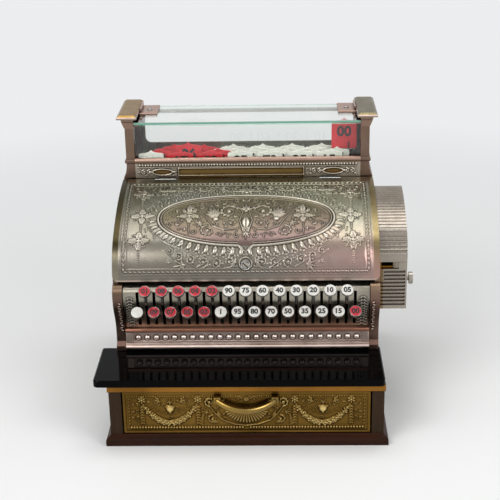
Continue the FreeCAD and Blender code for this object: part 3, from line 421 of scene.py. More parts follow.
# In these metals the bright tone is painted highlight on relief crests, and the dark tone is also painted
# shade in hollows and corners.
NICKEL = metal("nickel_plate", "a9a298", "918b7e", "3a352e", relief=True)
DARK_NICKEL = metal("worn_nickel", "aaa497", "8c8578", "2b2621", relief=True, bright="ccc6ba", reach=0.003)
RAIL_COPPER = metal("rail_copper", "e0cdc3", "cbb5a9", "4a2f25", rough=0.36, relief=True, reach=0.003,
                    shade=lower_rail_shade)
CHEEK = metal("cheek_copper", "a17f72", "87685b", "3a251c", rough=0.33, relief=True, bright="dcc8b8",
              shade=cheek_shade, reach=0.003)
BRASS = metal("aged_brass", "785b29", "61491f", "241604", rough=0.27, relief=True, bright="e6ca84")
PULL_BRASS = metal("pull_brass", "957a40", "7c673e", "2c1f0d", rough=0.24)
RAIL_BRASS = metal("rail_brass", "96682b", "7b5323", "2f1e0b", rough=0.22)
TOP_RAIL = metal("top_rail_metal", "bab0a1", "a89d8e", "2f261d", relief=True, bright="d0c8ba",
                 shade=rail_shade)
PILLAR = metal("pillar_bronze", "7f685c", "6a574b", "33261d", relief=True, bright="ccb4a4",
               shade=pillar_shade)
CASE = metal("printer_nickel", "a39a8f", "8c8378", "1b1713", rough=0.24, shade=case_shade, reach=0.004)
STEEL = metal("bright_steel", "a9a9a6", "8f8f8b", "2d2d2c", rough=0.25)
KEY_RIM = metal("key_rim", "9c9c9a", "858684", "393835", rough=0.24)
# Painted shadow: the dark disc around each of the lower rail's bosses.
BOSS_SHADOW = metal("rail_shadow", "75594d", "5e483e", "1d1511", rough=0.5)
BOSS = metal("boss_nickel", "efe6df", "dccfc5", "5a4a42", rough=0.26)
IRON = metal("black_iron", "3a3937", "2c2b2a", "111110", rough=0.5)
MAHOGANY = wood("mahogany", "200d03", "371806")
UPRIGHT = wood("mahogany_upright", "25180a", "382614", grain=(14.0, 12.0, 1.0))
PLAIN_WOOD = wood("plain_wood", "7a5636", "9a7650", gloss=0.5)
SLAB = slab_black()
TOP_GLASS = glass("top_plate_glass", "Z")
PANE_GLASS = glass("window_glass", "Y")
WHITE = enamel("white_enamel", "dcdad3", "cecbc2", rough=0.28)
RED = enamel("red_enamel", "c31f2e", "a01522", rough=0.28)
FLAG_RED = enamel("flag_red_enamel", "d3202c", "b81a25")
FLAG_WHITE = enamel("flag_white_enamel", "e6e2da", "d4cfc5")
INK = enamel("black_ink", "17171a", "232326", rough=0.45)
PAPER = paper()

node_materials = {
    "base_board": MAHOGANY, "drawer_case": UPRIGHT, "drawer_box": PLAIN_WOOD, "coin_tray": PLAIN_WOOD,
    "drawer_top_rail": RAIL_BRASS, "drawer_front": BRASS, "drawer_pull": PULL_BRASS,
    "counter_slab": SLAB, "machine_base": IRON, "left_side_panel": CHEEK, "right_side_panel": CHEEK,
    "back_cover": DARK_NICKEL, "hood": HOOD, "hood_lock": NICKEL, "keyboard_plate": DARK_NICKEL,
    "lower_rail": RAIL_COPPER, "top_rail": TOP_RAIL, "left_pillar": PILLAR, "right_pillar": PILLAR,
    "top_glass": TOP_GLASS, "window_panes": PANE_GLASS, "glass_clips": TOP_RAIL, "flag_guide": IRON,
    "printer_housing": CASE, "printer_cover": CASE, "paper_roll": PAPER, "feed_knob": NICKEL,
}
# Every other node is of bright steel
for name, node in nodes.items():
    node.data.materials.clear()
    node.data.materials.append(node_materials.get(name, STEEL))


# Building blocks
def linked(name, data):
    """A new object that is part of the scene."""
    piece = bpy.data.objects.new(name, data)
    bpy.context.collection.objects.link(piece)
    return piece


def new_object(name, verts, faces, material, body, slot, smooth=True):
    mesh = bpy.data.meshes.new(name)
    mesh.from_pydata([tuple(v) for v in verts], [], [tuple(f) for f in faces])
    mesh.update()
    if smooth:
        mesh.shade_smooth()
    for one in material if isinstance(material, list) else [material]:
        mesh.materials.append(one)
    piece = linked(name, mesh)
    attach(piece, body)
    return piece


def point_attribute(piece, name, values):
    layer = piece.data.attributes.new(name, "FLOAT", "POINT")
    layer.data.foreach_set("value", np.asarray(values, dtype=np.float32).ravel())


def measured(points):
    """A path as an array, with the distance along it at each point."""
    points = np.asarray(points, dtype=float)
    steps = np.hypot(*np.diff(points, axis=0).T)
    return points, np.concatenate([[0], np.cumsum(steps)])


def spot_at(points, along, at):
    return float(np.interp(at, along, points[:, 0])), float(np.interp(at, along, points[:, 1]))


def toward(x, y, angle, reach):
    """The point that lies at a distance in a direction."""
    return x + cos(angle) * reach, y + sin(angle) * reach


class Arcs:
    """The hood's outer skin: two tangent arcs in the YZ plane, measured along the skin."""

    def __init__(self, start, end, turns):
        c1, s1 = cos(radians(turns[0])), sin(radians(turns[0]))
        c2, s2 = cos(radians(turns[1])), sin(radians(turns[1]))
        run, rise = end[0] - start[0], end[1] - start[1]
        fixed = (1 - c1) * (s2 - s1) - s1 * (c1 - c2)
        self.r1 = (run * (s2 - s1) - rise * (c1 - c2)) / fixed
        self.r2 = ((1 - c1) * rise - s1 * run) / fixed
        self.c1 = (start[0] + self.r1, start[1])
        self.c2 = (self.c1[0] + (self.r2 - self.r1) * c1, start[1] - (self.r2 - self.r1) * s1)
        self.first = radians(turns[0])
        self.split = self.r1 * self.first
        self.length = self.split + self.r2 * (radians(turns[1]) - self.first)

    def place(self, s, lift):
        """Y and Z for arrays of distance and height above the skin."""
        near = s <= self.split
        turn = np.where(near, s / self.r1, self.first + (s - self.split) / self.r2)
        radius = np.where(near, self.r1, self.r2) + lift
        cy = np.where(near, self.c1[0], self.c2[0])
        cz = np.where(near, self.c1[1], self.c2[1])
        return cy - radius * np.cos(turn), cz + radius * np.sin(turn)


# How deep a relief's rim lies in the surface, in millimetres
EDGE_SINK = -0.3


class Relief:
    """A height map in millimetres, built from raised domes, strokes and leaves."""

    def __init__(self, x0, x1, y0, y1, step):
        self.step = step
        self.x0, self.y0 = x0, y0
        self.nx = int(round((x1 - x0) / step)) + 1
        self.ny = int(round((y1 - y0) / step)) + 1
        self.x = np.linspace(x0, x1, self.nx)
        self.y = np.linspace(y0, y1, self.ny)
        self.height = np.zeros((self.ny, self.nx))
        self.tint = np.zeros((self.ny, self.nx))

    def window(self, x, y, reach):
        i0 = max(int((x - reach - self.x0) / self.step), 0)
        i1 = min(int((x + reach - self.x0) / self.step) + 2, self.nx)
        j0 = max(int((y - reach - self.y0) / self.step), 0)
        j1 = min(int((y + reach - self.y0) / self.step) + 2, self.ny)
        return i0, i1, j0, j1

    def dome(self, x, y, radius, rise, flat=1.0, angle=0.0):
        """A raised dome, or an oval one when flat is under 1."""
        i0, i1, j0, j1 = self.window(x, y, radius)
        if i0 >= i1 or j0 >= j1:
            return
        dx = self.x[i0:i1][None, :] - x
        dy = self.y[j0:j1][:, None] - y
        if flat != 1.0:
            c, s = cos(angle), sin(angle)
            dx, dy = dx * c + dy * s, (-dx * s + dy * c) / flat
        d = (dx * dx + dy * dy) / (radius * radius)
        shape = rise * np.sqrt(np.clip(1 - d, 0, 1))
        self.height[j0:j1, i0:i1] = np.maximum(self.height[j0:j1, i0:i1], shape)

    def stroke(self, points, start, end, rise):
        """A rounded band along a path, tapering from one radius to the other."""
        points, along = measured(points)
        count = max(int(along[-1] / max(min(start, end) * 0.35, self.step * 0.6)), 2)
        for i, at in enumerate(np.linspace(0, along[-1], count)):
            radius = start + (end - start) * i / (count - 1)
            self.dome(*spot_at(points, along, at), radius, rise * (radius / max(start, end)) ** 0.6)

    def leaf(self, x, y, angle, length, width, rise, bend=0.0):
        """A pointed leaf with a crease down its middle."""
        count = max(int(length / (self.step * 0.7)), 6)
        for side in (-1, 1):
            px, py = x, y
            for i in range(count):
                t = i / (count - 1)
                a = angle + bend * t
                half = width * 0.5 * sin(pi * min(t * 0.9 + 0.1, 1.0)) ** 0.8
                ox, oy = -sin(a) * side * half * 0.5, cos(a) * side * half * 0.5
                arch = rise * (0.6 + 0.4 * sin(pi * t))
                self.dome(px + ox, py + oy, max(half * 0.62, self.step * 0.8), arch)
                px, py = toward(px, py, a, length / count)

    def scroll(self, x, y, radius, start, sense, turns=1.4, width=1.1, rise=1.2, leaves=6):
        """A volute that winds in to a round bud, with leaflets on its outside."""
        def turned(t):
            a = start + sense * t * turns * 2 * pi
            return a, *toward(x, y, a, radius * (1 - t) ** 0.85 + radius * 0.12 * t)

        steps = int(40 * turns)
        self.stroke([turned(i / steps)[1:] for i in range(steps + 1)], width, width * 0.6, rise)
        self.dome(x, y, radius * 0.26, rise * 1.25)
        for i in range(leaves):
            a, px, py = turned(0.04 + 0.5 * i / leaves)
            self.leaf(px, py, a - sense * 0.7, radius * 0.5, radius * 0.26, rise * 0.9, bend=-sense * 0.9)

    def rosette(self, x, y, radius, petals, rise):
        for i in range(petals):
            a = 2 * pi * (i + 0.5) / petals
            self.dome(*toward(x, y, a, radius * 0.62), radius * 0.42, rise * 0.8, flat=0.6, angle=a)
        self.dome(x, y, radius * 0.3, rise)

    def palmette(self, x, y, angle, length, count, rise, fan=2.2):
        for i in range(count):
            share = i / (count - 1) - 0.5
            size = length * (1 - 0.5 * abs(share) * 2 * 0.7)
            self.leaf(x, y, angle + share * fan, size, length * 0.17, rise, bend=share * 1.1)
        self.dome(x, y, length * 0.16, rise * 1.2)

    def beads(self, points, pitch, radius, rise, flat=1.0):
        """A string of beads along a path."""
        points, along = measured(points)
        count = max(int(round(along[-1] / pitch)), 1)
        for at in (np.arange(count) + 0.5) * along[-1] / count:
            x, y = spot_at(points, along, at)
            ahead_x, ahead_y = spot_at(points, along, min(at + 0.5, along[-1]))
            self.dome(x, y, radius, rise, flat=flat, angle=atan2(ahead_y - y, ahead_x - x))

    def cross(self, x, y, size, rise):
        """A filigree cross: four arms of beads and leaflets, small curls between, and drops below."""
        for turn in range(4):
            a = turn * pi / 2
            for k in range(1, 5):
                px, py = toward(x, y, a, size * 0.095 * k)
                self.dome(px, py, size * (0.062 - 0.007 * k), rise)
                for side in (-1, 1):
                    self.leaf(px, py, a + side * 1.0, size * (0.3 - 0.045 * k), size * 0.09, rise * 0.85,
                              bend=-side * 0.9)
            curl = a + pi / 4
            bud = toward(x, y, curl, size * 0.27)
            self.scroll(*bud, size * 0.12, curl, 1, 1.1, size * 0.028, rise * 0.8, leaves=2)
        self.dome(x, y, size * 0.085, rise * 1.3)
        for i in range(6):
            self.dome(x, y - size * (0.56 + 0.1 * i), size * (0.05 - 0.004 * i), rise * 0.8)

    def mirror(self):
        """Copies the right half over the left."""
        half = self.nx // 2
        self.height[:, :half] = self.height[:, ::-1][:, :half]
        self.tint[:, :half] = self.tint[:, ::-1][:, :half]

    def fill(self, pitch, inside, size, rise, room=0.42):
        """Sprigs wherever the ground is still bare, turned this way and that like acanthus."""
        rows = int((self.y[-1] - self.y[0]) / (pitch * 0.86)) + 1
        columns = int((self.x[-1] - self.x[0]) / pitch) + 1
        for j in range(rows):
            for i in range(columns):
                x = self.x[0] + (i + 0.5 * (j % 2)) * pitch
                y = self.y[0] + j * pitch * 0.86
                i0, i1, j0, j1 = self.window(x, y, pitch * room)
                if i0 >= i1 or j0 >= j1 or not inside(x, y) or self.height[j0:j1, i0:i1].max() > 0.3:
                    continue
                turn = 0.35 * x / pitch + 0.9 * (j % 3) + 0.5 * i
                sense = 1 if (i + j) % 2 else -1
                if i % 2:
                    self.scroll(x, y, size * 0.62, turn, sense, 1.25, size * 0.11, rise, leaves=4)
                    continue
                self.leaf(x, y, turn, size, size * 0.42, rise, bend=sense * 1.6)
                self.leaf(x, y, turn + 2.2 * sense, size * 0.75, size * 0.36, rise * 0.85, bend=-sense * 1.2)
                self.dome(x, y, size * 0.2, rise * 1.15)

    def piece(self, name, place, material, body, slot, offset=0.12, seam=False, flip=False):
        """Turns the map into a mesh; place gives x, y, z arrays for the map's x, y and height."""
        height = self.height + offset
        height[0, :] = height[-1, :] = height[:, -1] = EDGE_SINK
        if not seam:
            height[:, 0] = EDGE_SINK
        verts = np.stack(place(*np.meshgrid(self.x, self.y), height), axis=-1).reshape(-1, 3) * MM
        index = np.arange(self.nx * self.ny).reshape(self.ny, self.nx)
        quads = np.stack([index[:-1, :-1], index[:-1, 1:], index[1:, 1:], index[1:, :-1]], axis=-1)
        piece = grid_object(name, verts, quads.reshape(-1, 4), material, body)
        blurred = soften(self.height, max(int(round(1.6 / self.step)), 1))
        span = max(self.height.max(), 0.1)
        # The hollow and crest values drive painted shade in the hollows and painted highlights on the
        # crests.
        point_attribute(piece, "hollow", np.clip((blurred - self.height) / (0.28 * span), 0, 1))
        point_attribute(piece, "crest", np.clip(self.height / span, 0, 1))
        point_attribute(piece, "tint", self.tint)
        if flip:
            piece.data.flip_normals()

    def pair(self, name, place, material, body, flipped, **options):
        """The map on the right and on the left; place also takes the side."""
        for side, end in ((1, "_right"), (-1, "_left")):
            self.piece(name + end, lambda x, s, h, side=side: place(side, x, s, h), material, body,
                       "antique_nickel", flip=side == flipped, **options)


def soften(values, reach):
    """A box blur, run twice each way."""
    size = 2 * reach + 1
    for axis in (0, 1, 0, 1):
        pad = [(reach, reach) if i == axis else (0, 0) for i in (0, 1)]
        total = np.cumsum(np.pad(values, pad, mode="edge"), axis=axis)
        total = np.insert(total, 0, 0, axis=axis)
        start = np.arange(values.shape[axis])
        values = (np.take(total, start + size, axis=axis) - np.take(total, start, axis=axis)) / size
    return values


def grid_object(name, verts, quads, material, body):
    mesh = bpy.data.meshes.new(name)
    mesh.vertices.add(len(verts))
    mesh.vertices.foreach_set("co", verts.astype(np.float32).ravel())
    mesh.loops.add(quads.size)
    mesh.loops.foreach_set("vertex_index", quads.astype(np.int32).ravel())
    mesh.polygons.add(len(quads))
    mesh.polygons.foreach_set("loop_start", np.arange(0, quads.size, 4, dtype=np.int32))
    mesh.update(calc_edges=True)
    mesh.shade_smooth()
    mesh.materials.append(material)
    piece = linked(name, mesh)
    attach(piece, body)
    return piece


OVAL_POWER = 2.2
RIGHT_HALF = {"start": -pi / 2, "end": pi / 2}


def oval(cx, cy, rx, ry, power=OVAL_POWER, count=240, start=0.0, end=2 * pi):
    path = []
    for a in np.linspace(start, end, count):
        c, s = cos(a), sin(a)
        path.append((cx + rx * copysign(abs(c) ** (2 / power), c),
                     cy + ry * copysign(abs(s) ** (2 / power), s)))
    return path


def oval_share(x, y, rx, ry):
    """Under 1 inside an oval, over 1 outside it."""
    return (abs(x) / rx) ** OVAL_POWER + (abs(y) / ry) ** OVAL_POWER


# Hood
hood_skin = Arcs(HOOD_LIP, HOOD_END, HOOD_TURNS)
HOOD_BORDER_X = 190.0
HOOD_BORDER_LOW = 15.0
HOOD_BORDER_HIGH = 210.0
OVAL_X = 139.0
OVAL_LOW = 56.0
OVAL_HIGH = 169.0
LOCK_HOLE = 27.7


def hood_relief():
    """The whole hood ornament: beaded border, oval moulding, ring of lobes and scrollwork."""
    r = Relief(0.0, HOOD_HALF - 9.5, 4.0, 222.0, 0.7)
    mid = (OVAL_LOW + OVAL_HIGH) / 2
    half = (OVAL_HIGH - OVAL_LOW) / 2
    gx, gy = np.meshgrid(r.x, r.y)
    r.tint[oval_share(gx, gy - mid, OVAL_X, half) < 0.98] = 1.0

    def border(grow):
        side, low, high = HOOD_BORDER_X + grow, HOOD_BORDER_LOW - grow, HOOD_BORDER_HIGH + grow
        return [(0, low), (side, low), (side, high), (0, high)]

    for ends in zip(border(0), border(0)[1:]):
        r.beads(ends, 7.4, 2.4, 1.3, flat=0.62)
        r.beads(ends, 3.7, 0.7, 0.7)
    for grow in (-4.6, 4.2):
        r.stroke(border(grow), 0.9, 0.9, 0.6)

    def ring(grow, count=500):
        return oval(0, mid, OVAL_X + grow, half + grow, count=count, **RIGHT_HALF)

    for inset, radius, rise in ((0.0, 2.0, 2.0), (-4.6, 1.2, 1.4), (-7.6, 0.7, 0.7)):
        r.stroke([p for p in ring(inset, 400) if abs(p[0]) > 11 or p[1] > mid], radius, radius, rise)
    for sign in (-1, 1):
        ribbon = [(11.5, OVAL_LOW + 0.6), (6.0, OVAL_LOW - 5.0 + sign * 2), (2.0, OVAL_LOW - 8.5)]
        r.stroke(ribbon, 1.6, 1.0, 1.8)
    r.palmette(0, OVAL_HIGH + 1, pi / 2, 10, 5, 1.6, fan=1.8)

    rim, along = measured(ring(9.5))
    lobes = int(along[-1] / 13.2)
    for i in range(lobes):
        at = (i + 0.5) * along[-1] / lobes
        x, y = spot_at(rim, along, at)
        ahead_x, ahead_y = spot_at(rim, along, at + 1.0)
        slope = atan2(ahead_y - y, ahead_x - x) - pi / 2
        low = max(0.0, min(1.0, (mid + 20 - y) / half))
        size = 3.6 + 1.6 * low
        r.dome(x, y, size + 1.2 * low + 0.6, 1.4 + 0.6 * low, flat=0.5, angle=slope + 0.18)
        r.dome(*toward(x, y, slope, size + 5.2), 1.5, 1.2)
        for side in (-1, 1):
            root = toward(*toward(x, y, slope, size * 0.8), slope + pi / 2, side * 3.4)
            r.leaf(*root, slope + side * 0.5, 5.4, 2.2, 1.3, bend=-side * 0.8)
    r.stroke([p for p in ring(18.5) if p[1] < mid + 10 and p[0] > 16], 0.7, 0.7, 0.6)

    # inside the oval
    r.palmette(0, mid + 16, pi / 2, 20, 5, 1.6, fan=1.5)
    r.leaf(0, mid - 22, pi / 2, 26, 12, 2.0)
    r.rosette(0, mid - 24, 7.0, 8, 1.8)
    r.palmette(0, mid - 32, -pi / 2, 14, 5, 1.6, fan=1.8)
    r.stroke([(4, mid - 30), (10, mid - 6), (5, mid + 14), (15, mid + 30), (24, mid + 36)], 1.4, 0.8, 1.5)
    r.scroll(27, mid + 15, 14, pi * 0.9, -1, 1.5, 1.3, 1.6, leaves=8)
    r.scroll(24, mid - 12, 10, -pi * 0.3, 1, 1.4, 1.1, 1.4, leaves=6)
    r.palmette(48, mid - 2, pi * 0.42, 34, 6, 1.4, fan=0.9)
    r.stroke([(18, mid - 24), (34, mid - 26), (52, mid - 18), (64, mid + 2), (78, mid + 20), (90, mid + 26)],
             1.4, 0.8, 1.4)
    r.scroll(60, mid - 27, 10.5, pi * 0.5, -1, 1.5, 1.2, 1.5, leaves=7)
    r.scroll(40, mid - 36, 5.5, 0.0, 1, 1.2, 0.8, 1.1, leaves=4)
    r.scroll(84, mid + 24, 7, -pi * 0.5, 1, 1.2, 0.9, 1.2, leaves=4)
    r.palmette(70, mid - 12, -0.2, 14, 5, 1.2)
    r.cross(90, mid + 5, 34, 1.5)
    r.leaf(90, mid + 13, pi / 2, 20, 9, 1.6)
    r.rosette(90, mid + 5, 4.2, 6, 1.5)
    for side in (-1, 1):
        r.scroll(90 + side * 12, mid - 5, 6.5, pi / 2, -side, 1.2, 0.9, 1.3, leaves=4)
        r.leaf(90 + side * 5, mid + 12, pi / 2 - side * 0.8, 15, 6, 1.3, bend=side * 0.9)
    for i in range(4):
        r.dome(90, mid - 26 - 3.6 * i, 1.6 - 0.25 * i, 1.1)
    r.rosette(114, mid + 4, 5.0, 4, 1.4)
    r.leaf(104, mid + 4, 0.0, 8, 4, 1.2)

    # outside the oval
    for x, y, size in ((167, 176, 36), (167, 66, 36), (165, 118, 38)):
        r.cross(x, y, size, 1.5)
    r.palmette(130, 186, pi / 2, 15, 5, 1.4, fan=2.4)
    for angle, bend in ((0.0, 0.4), (pi, -0.4)):
        r.leaf(130, 186, angle, 18, 6, 1.2, bend=bend)
    for x, y, size, sense in ((18, 190, 8, 1), (38, 192, 8.5, -1), (58, 191, 7, 1), (76, 190, 6, -1),
                              (92, 189, 5, 1), (26, 30, 8, -1), (46, 28, 7.5, 1), (66, 30, 8, -1),
                              (86, 34, 7, 1), (104, 40, 6, -1), (118, 48, 5, 1)):
        r.scroll(x, y, size, pi / 2 * sense, sense, 1.4, 1.0, 1.3, leaves=6)
    r.stroke([(0, 182), (28, 184), (48, 198), (68, 184), (86, 194), (104, 186), (116, 190)], 1.0, 0.6, 1.0)
    r.palmette(0, 180, pi / 2, 24, 7, 1.6, fan=2.2)
    r.stroke([(14, 24), (36, 20), (56, 34), (76, 22), (96, 34), (112, 36), (128, 50)], 1.0, 0.6, 1.0)
    r.palmette(96, 26, -0.2, 16, 5, 1.2)
    r.palmette(20, 46, pi * 0.25, 12, 5, 1.2)

    # the bare ring around the lock, with its collar
    gap = np.hypot(gx, gy - LOCK_HOLE)
    r.height[gap < 12.5] = 0.0
    r.palmette(15.5, 30, 0.2, 11, 5, 1.4, fan=2.2)
    r.stroke(oval(0, LOCK_HOLE, 9.6, 9.6, power=2.0, count=100, **RIGHT_HALF), 1.2, 1.2, 1.6)
    r.height[gap < 8.3] = 0.0

    def ground(x, y):
        out = oval_share(x, y - mid, OVAL_X + 17, half + 17)
        framed = x < HOOD_BORDER_X - 9 and HOOD_BORDER_LOW + 9 < y < HOOD_BORDER_HIGH - 9
        clear = hypot(x, y - LOCK_HOLE) > 14
        dressed = y > 172 or (y < 54 and x < 122) or out < 1.12
        return framed and clear and out > 1 and dressed

    def field(x, y):
        return oval_share(x, y - mid, OVAL_X - 13, half - 12) < 1

    r.fill(9.2, field, 7.6, 1.5, room=0.4)
    r.fill(6.2, field, 4.0, 1.2, room=0.42)
    r.fill(7.4, ground, 5.2, 1.1)
    r.fill(5.2, ground, 3.2, 0.8, room=0.4)
    return r


hood_relief().pair("hood_relief", lambda side, x, s, h: (x * side, *hood_skin.place(s, h)), HOOD, "hood_lid",
                   flipped=-1, seam=True)


# Drawer front
DRAWER_FACE = -197.6
DRAWER_LOW = 22.5
DRAWER_HIGH = 85.5
DRAWER_HALF = 185.5
DRAWER_GAIN = 1.25


def drawer_relief():
    """Garlands, hanging strings of leaves, a fluted shell behind the pull, and beaded edges."""
    r = Relief(-DRAWER_HALF, DRAWER_HALF, DRAWER_LOW, DRAWER_HIGH, 0.62)
    low = DRAWER_LOW + 5.0
    high = DRAWER_HIGH - 4.5
    r.beads([(4, low), (180, low)], 4.4, 2.1, 1.7)
    r.beads([(4, high), (180, high)], 3.6, 1.5, 1.3, flat=0.7)
    r.stroke([(0, low + 3.4), (176.5, low + 3.4), (176.5, high - 2.6), (0, high - 2.6)], 0.8, 0.8, 0.6)
    r.beads([(180, low + 3), (180, high - 2)], 5.2, 1.9, 1.2, flat=0.7)

    def string(x, y, drops):
        for i in range(drops):
            size = 2.6 - 0.18 * i
            for side in (-1, 1):
                r.leaf(x, y - 4.6 * i, -pi / 2 + side * 1.0, 5.4, 3.0, 1.2, bend=-side * 0.8)
            r.dome(x, y - 4.6 * i, size * 0.55, 1.5)

    left, right = 74.0, 160.0
    middle = (left + right) / 2
    for x in (left, right):
        r.rosette(x, 75, 6.4, 6, 2.0)
        r.palmette(x, 79, pi / 2, 7, 5, 1.3)
        string(x, 64, 7)

    def garland(inset, top, sag, power, shares):
        """A curve that hangs between the two rosettes."""
        span = right - left - 2 * inset
        return [(left + inset + span * t, top - sag * sin(pi * t) ** power) for t in shares]

    swag = garland(0, 71, 36, 0.8, np.linspace(0.02, 0.98, 60))
    r.stroke(swag, 1.5, 1.5, 1.3)
    for i, (x, y) in enumerate(swag[2:-2:2]):
        t = (x - left) / (right - left)
        size = 2.2 + 1.8 * sin(pi * t)
        for side in (-1, 1):
            angle = side * 1.2 + (0.9 if t > 0.5 else pi - 0.9)
            r.leaf(x, y, angle, size * 1.7, size, 1.5, bend=side * 0.5)
        r.dome(x, y + (0.8 if i % 2 else -0.8), size * 0.5, 2.2)
    for x, y in garland(10, 72, 20, 0.7, np.linspace(0, 1, 40))[3:-3:4]:
        r.rosette(x, y, 3.0, 5, 1.3)
    r.dome(middle, 60, 6.2, 2.6)
    r.dome(middle, 63, 8.6, 1.6, flat=0.4)
    r.stroke([(middle, 60), (middle, 74)], 1.4, 0.8, 1.6)
    r.palmette(middle, 70, pi / 2, 9, 5, 1.3)
    r.dome(middle, 55, 2.4, 2.2)
    for side in (-1, 1):
        r.scroll(middle + side * 22, 74, 5.5, pi / 2, side, 1.3, 1.0, 1.5, leaves=5)
        r.leaf(middle + side * 15, 71, pi / 2 - side * 1.0, 9, 4, 1.4, bend=side * 0.6)

    # the fluted shell behind the pull
    for i in range(17):
        a = -pi * (0.12 + 0.76 * i / 16)
        c, s = cos(a), sin(a)
        r.stroke([(c * 13, 64 + s * 8), (c * 33, 64 + s * 27)], 1.4, 2.1, 1.4)
    r.stroke([(0, 31), (18, 33), (36, 40), (48, 52), (56, 64), (60, 76)], 1.3, 1.0, 1.5)
    r.scroll(56, 72, 7.5, -pi / 2, 1, 1.4, 1.3, 1.9, leaves=6)
    r.scroll(52, 42, 7, pi / 2, -1, 1.3, 1.1, 1.6, leaves=6)
    r.palmette(60, 54, 0.1, 9, 5, 1.4, fan=2.4)
    r.leaf(44, 36, 0.2, 14, 5, 1.3, bend=0.5)
    r.leaf(40, 46, pi * 0.3, 12, 4.5, 1.3, bend=0.5)
    for i in range(5):
        r.leaf(66, 32 + 3.2 * i, 0.3 + 0.25 * i, 8, 3, 1.2, bend=0.5)
    r.palmette(0, 74, pi / 2, 9, 7, 1.5, fan=2.6)
    r.scroll(12, 77, 4.5, pi, -1, 1.2, 0.9, 1.3, leaves=4)
    for i, (x, y) in enumerate(swag[3:-3:3]):
        r.dome(x + (1.6 if i % 2 else -1.6), y - 3.6, 1.7, 2.0)
        r.dome(x - (1.4 if i % 2 else -1.4), y + 3.2, 1.5, 1.9)

    def bare(x, y):
        t = min(max((x - left) / (right - left), 0), 1)
        above = y > 74 - 33 * sin(pi * t) ** 0.8
        beside = x < left - 3 or x > right + 3
        return 33 < y < 80 and 8 < x < 176 and (above or beside) and hypot(x, y - 66) > 30

    r.fill(6.4, bare, 4.6, 1.5, room=0.36)
    r.height *= DRAWER_GAIN
    r.mirror()
    return r


drawer_relief().piece("drawer_relief", lambda x, z, h: (x, DRAWER_FACE - h, z), BRASS, "drawer",
                      "polished_brass")


# Key caps
def loft(rings, closed=True):
    """Vertices and faces, in metres, through rings of points; closed ones have both ends filled."""
    count = len(rings[0])
    verts = [tuple(c * MM for c in p) for ring in rings for p in ring]
    faces = []
    for j in range(len(rings) - 1):
        for i in range(count):
            k = (i + 1) % count
            faces.append((j * count + i, j * count + k, (j + 1) * count + k, (j + 1) * count + i))
    if closed:
        faces.append(tuple(reversed(range(count))))
        faces.append(tuple((len(rings) - 1) * count + i for i in range(count)))
    return verts, faces


def revolve(profile, segments, closed=True):
    """A profile of (radius, height) turned round local Z."""
    turns = [2 * pi * i / segments for i in range(segments)]
    return loft([[(r * cos(a), r * sin(a), h) for a in turns] for r, h in profile], closed)


text_cache = {}


def text_mesh(text, size, depth, weight, width_limit):
    """Raised plain numerals as vertices and faces, centred on the origin."""
    key = (text, size, depth, weight)
    if key not in text_cache:
        curve = bpy.data.curves.new("numerals", "FONT")
        curve.body = text
        curve.size = size * MM
        curve.extrude = depth * MM
        curve.offset = weight * MM
        curve.resolution_u = 3
        curve.align_x = "CENTER"
        curve.align_y = "CENTER"
        holder = linked("numerals", curve)
        bpy.context.view_layer.update()
        mesh = bpy.data.meshes.new_from_object(holder.evaluated_get(bpy.context.evaluated_depsgraph_get()))
        verts = np.array([tuple(v.co) for v in mesh.vertices])
        faces = [tuple(p.vertices) for p in mesh.polygons]
        low, high = verts.min(axis=0), verts.max(axis=0)
        verts[:, :2] -= (low[:2] + high[:2]) / 2
        verts[:, 0] *= min(1.0, width_limit * MM / (high[0] - low[0]))
        text_cache[key] = (verts, faces)
        bpy.data.objects.remove(holder)
        bpy.data.curves.remove(curve)
        bpy.data.meshes.remove(mesh)
    return text_cache[key]


class Parts:
    """Shapes gathered into one object, each with its own material."""

    def __init__(self):
        self.shapes = []

    def add(self, shape, material, place=None, smooth=False):
        verts, faces = shape
        if place is not None:
            verts = [tuple(place @ Vector(v)) for v in verts]
        self.shapes.append((verts, faces, material, smooth))

    def turn(self, profile, segments, material, place, closed=True):
        self.add(revolve(profile, segments, closed), material, place, smooth=True)

    def build(self, name, body, slot):
        verts, faces, numbers, smooth, materials = [], [], [], [], []
        for part_verts, part_faces, material, is_smooth in self.shapes:
            if material not in materials:
                materials.append(material)
            base = len(verts)
            verts.extend(tuple(v) for v in part_verts)
            for face in part_faces:
                faces.append(tuple(base + i for i in face))
                numbers.append(materials.index(material))
                smooth.append(is_smooth)
        piece = new_object(name, verts, faces, materials, body, slot, smooth=False)
        piece.data.polygons.foreach_set("material_index", numbers)
        piece.data.polygons.foreach_set("use_smooth", smooth)
        return piece


LABELS = {
    "upper": ["01", "08", "06", "04", "02", "90", "75", "60", "40", "30", "20", "10", "05"],
    "lower": ["", "09", "07", "05", "03", "1", "95", "80", "70", "50", "35", "25", "15", "00"],
}
RED_KEYS = {"upper": (0, 1, 2, 3, 4), "lower": (1, 2, 3, 4, 13)}
CAPS = {"upper": UPPER_CAP, "lower": LOWER_CAP}
CAP_FOOT = (9.36, -4.2)
KEY_TEXT = {"size": 11.4, "depth": 0.18, "weight": 0.5, "width_limit": 13.8}
FLAG_TEXT = {"size": 24.0, "depth": 0.12, "weight": 0.9, "width_limit": 32.0}


def key_x(i):
    """The place across of a key, counted over both rows from the left."""
    return (i - (KEY_COUNT - 1) / 2) * KEY_PITCH / 2


def key_places():
    """(row, number, x) for every key from left to right."""
    return [("upper" if i % 2 else "lower", i // 2, key_x(i)) for i in range(KEY_COUNT)]


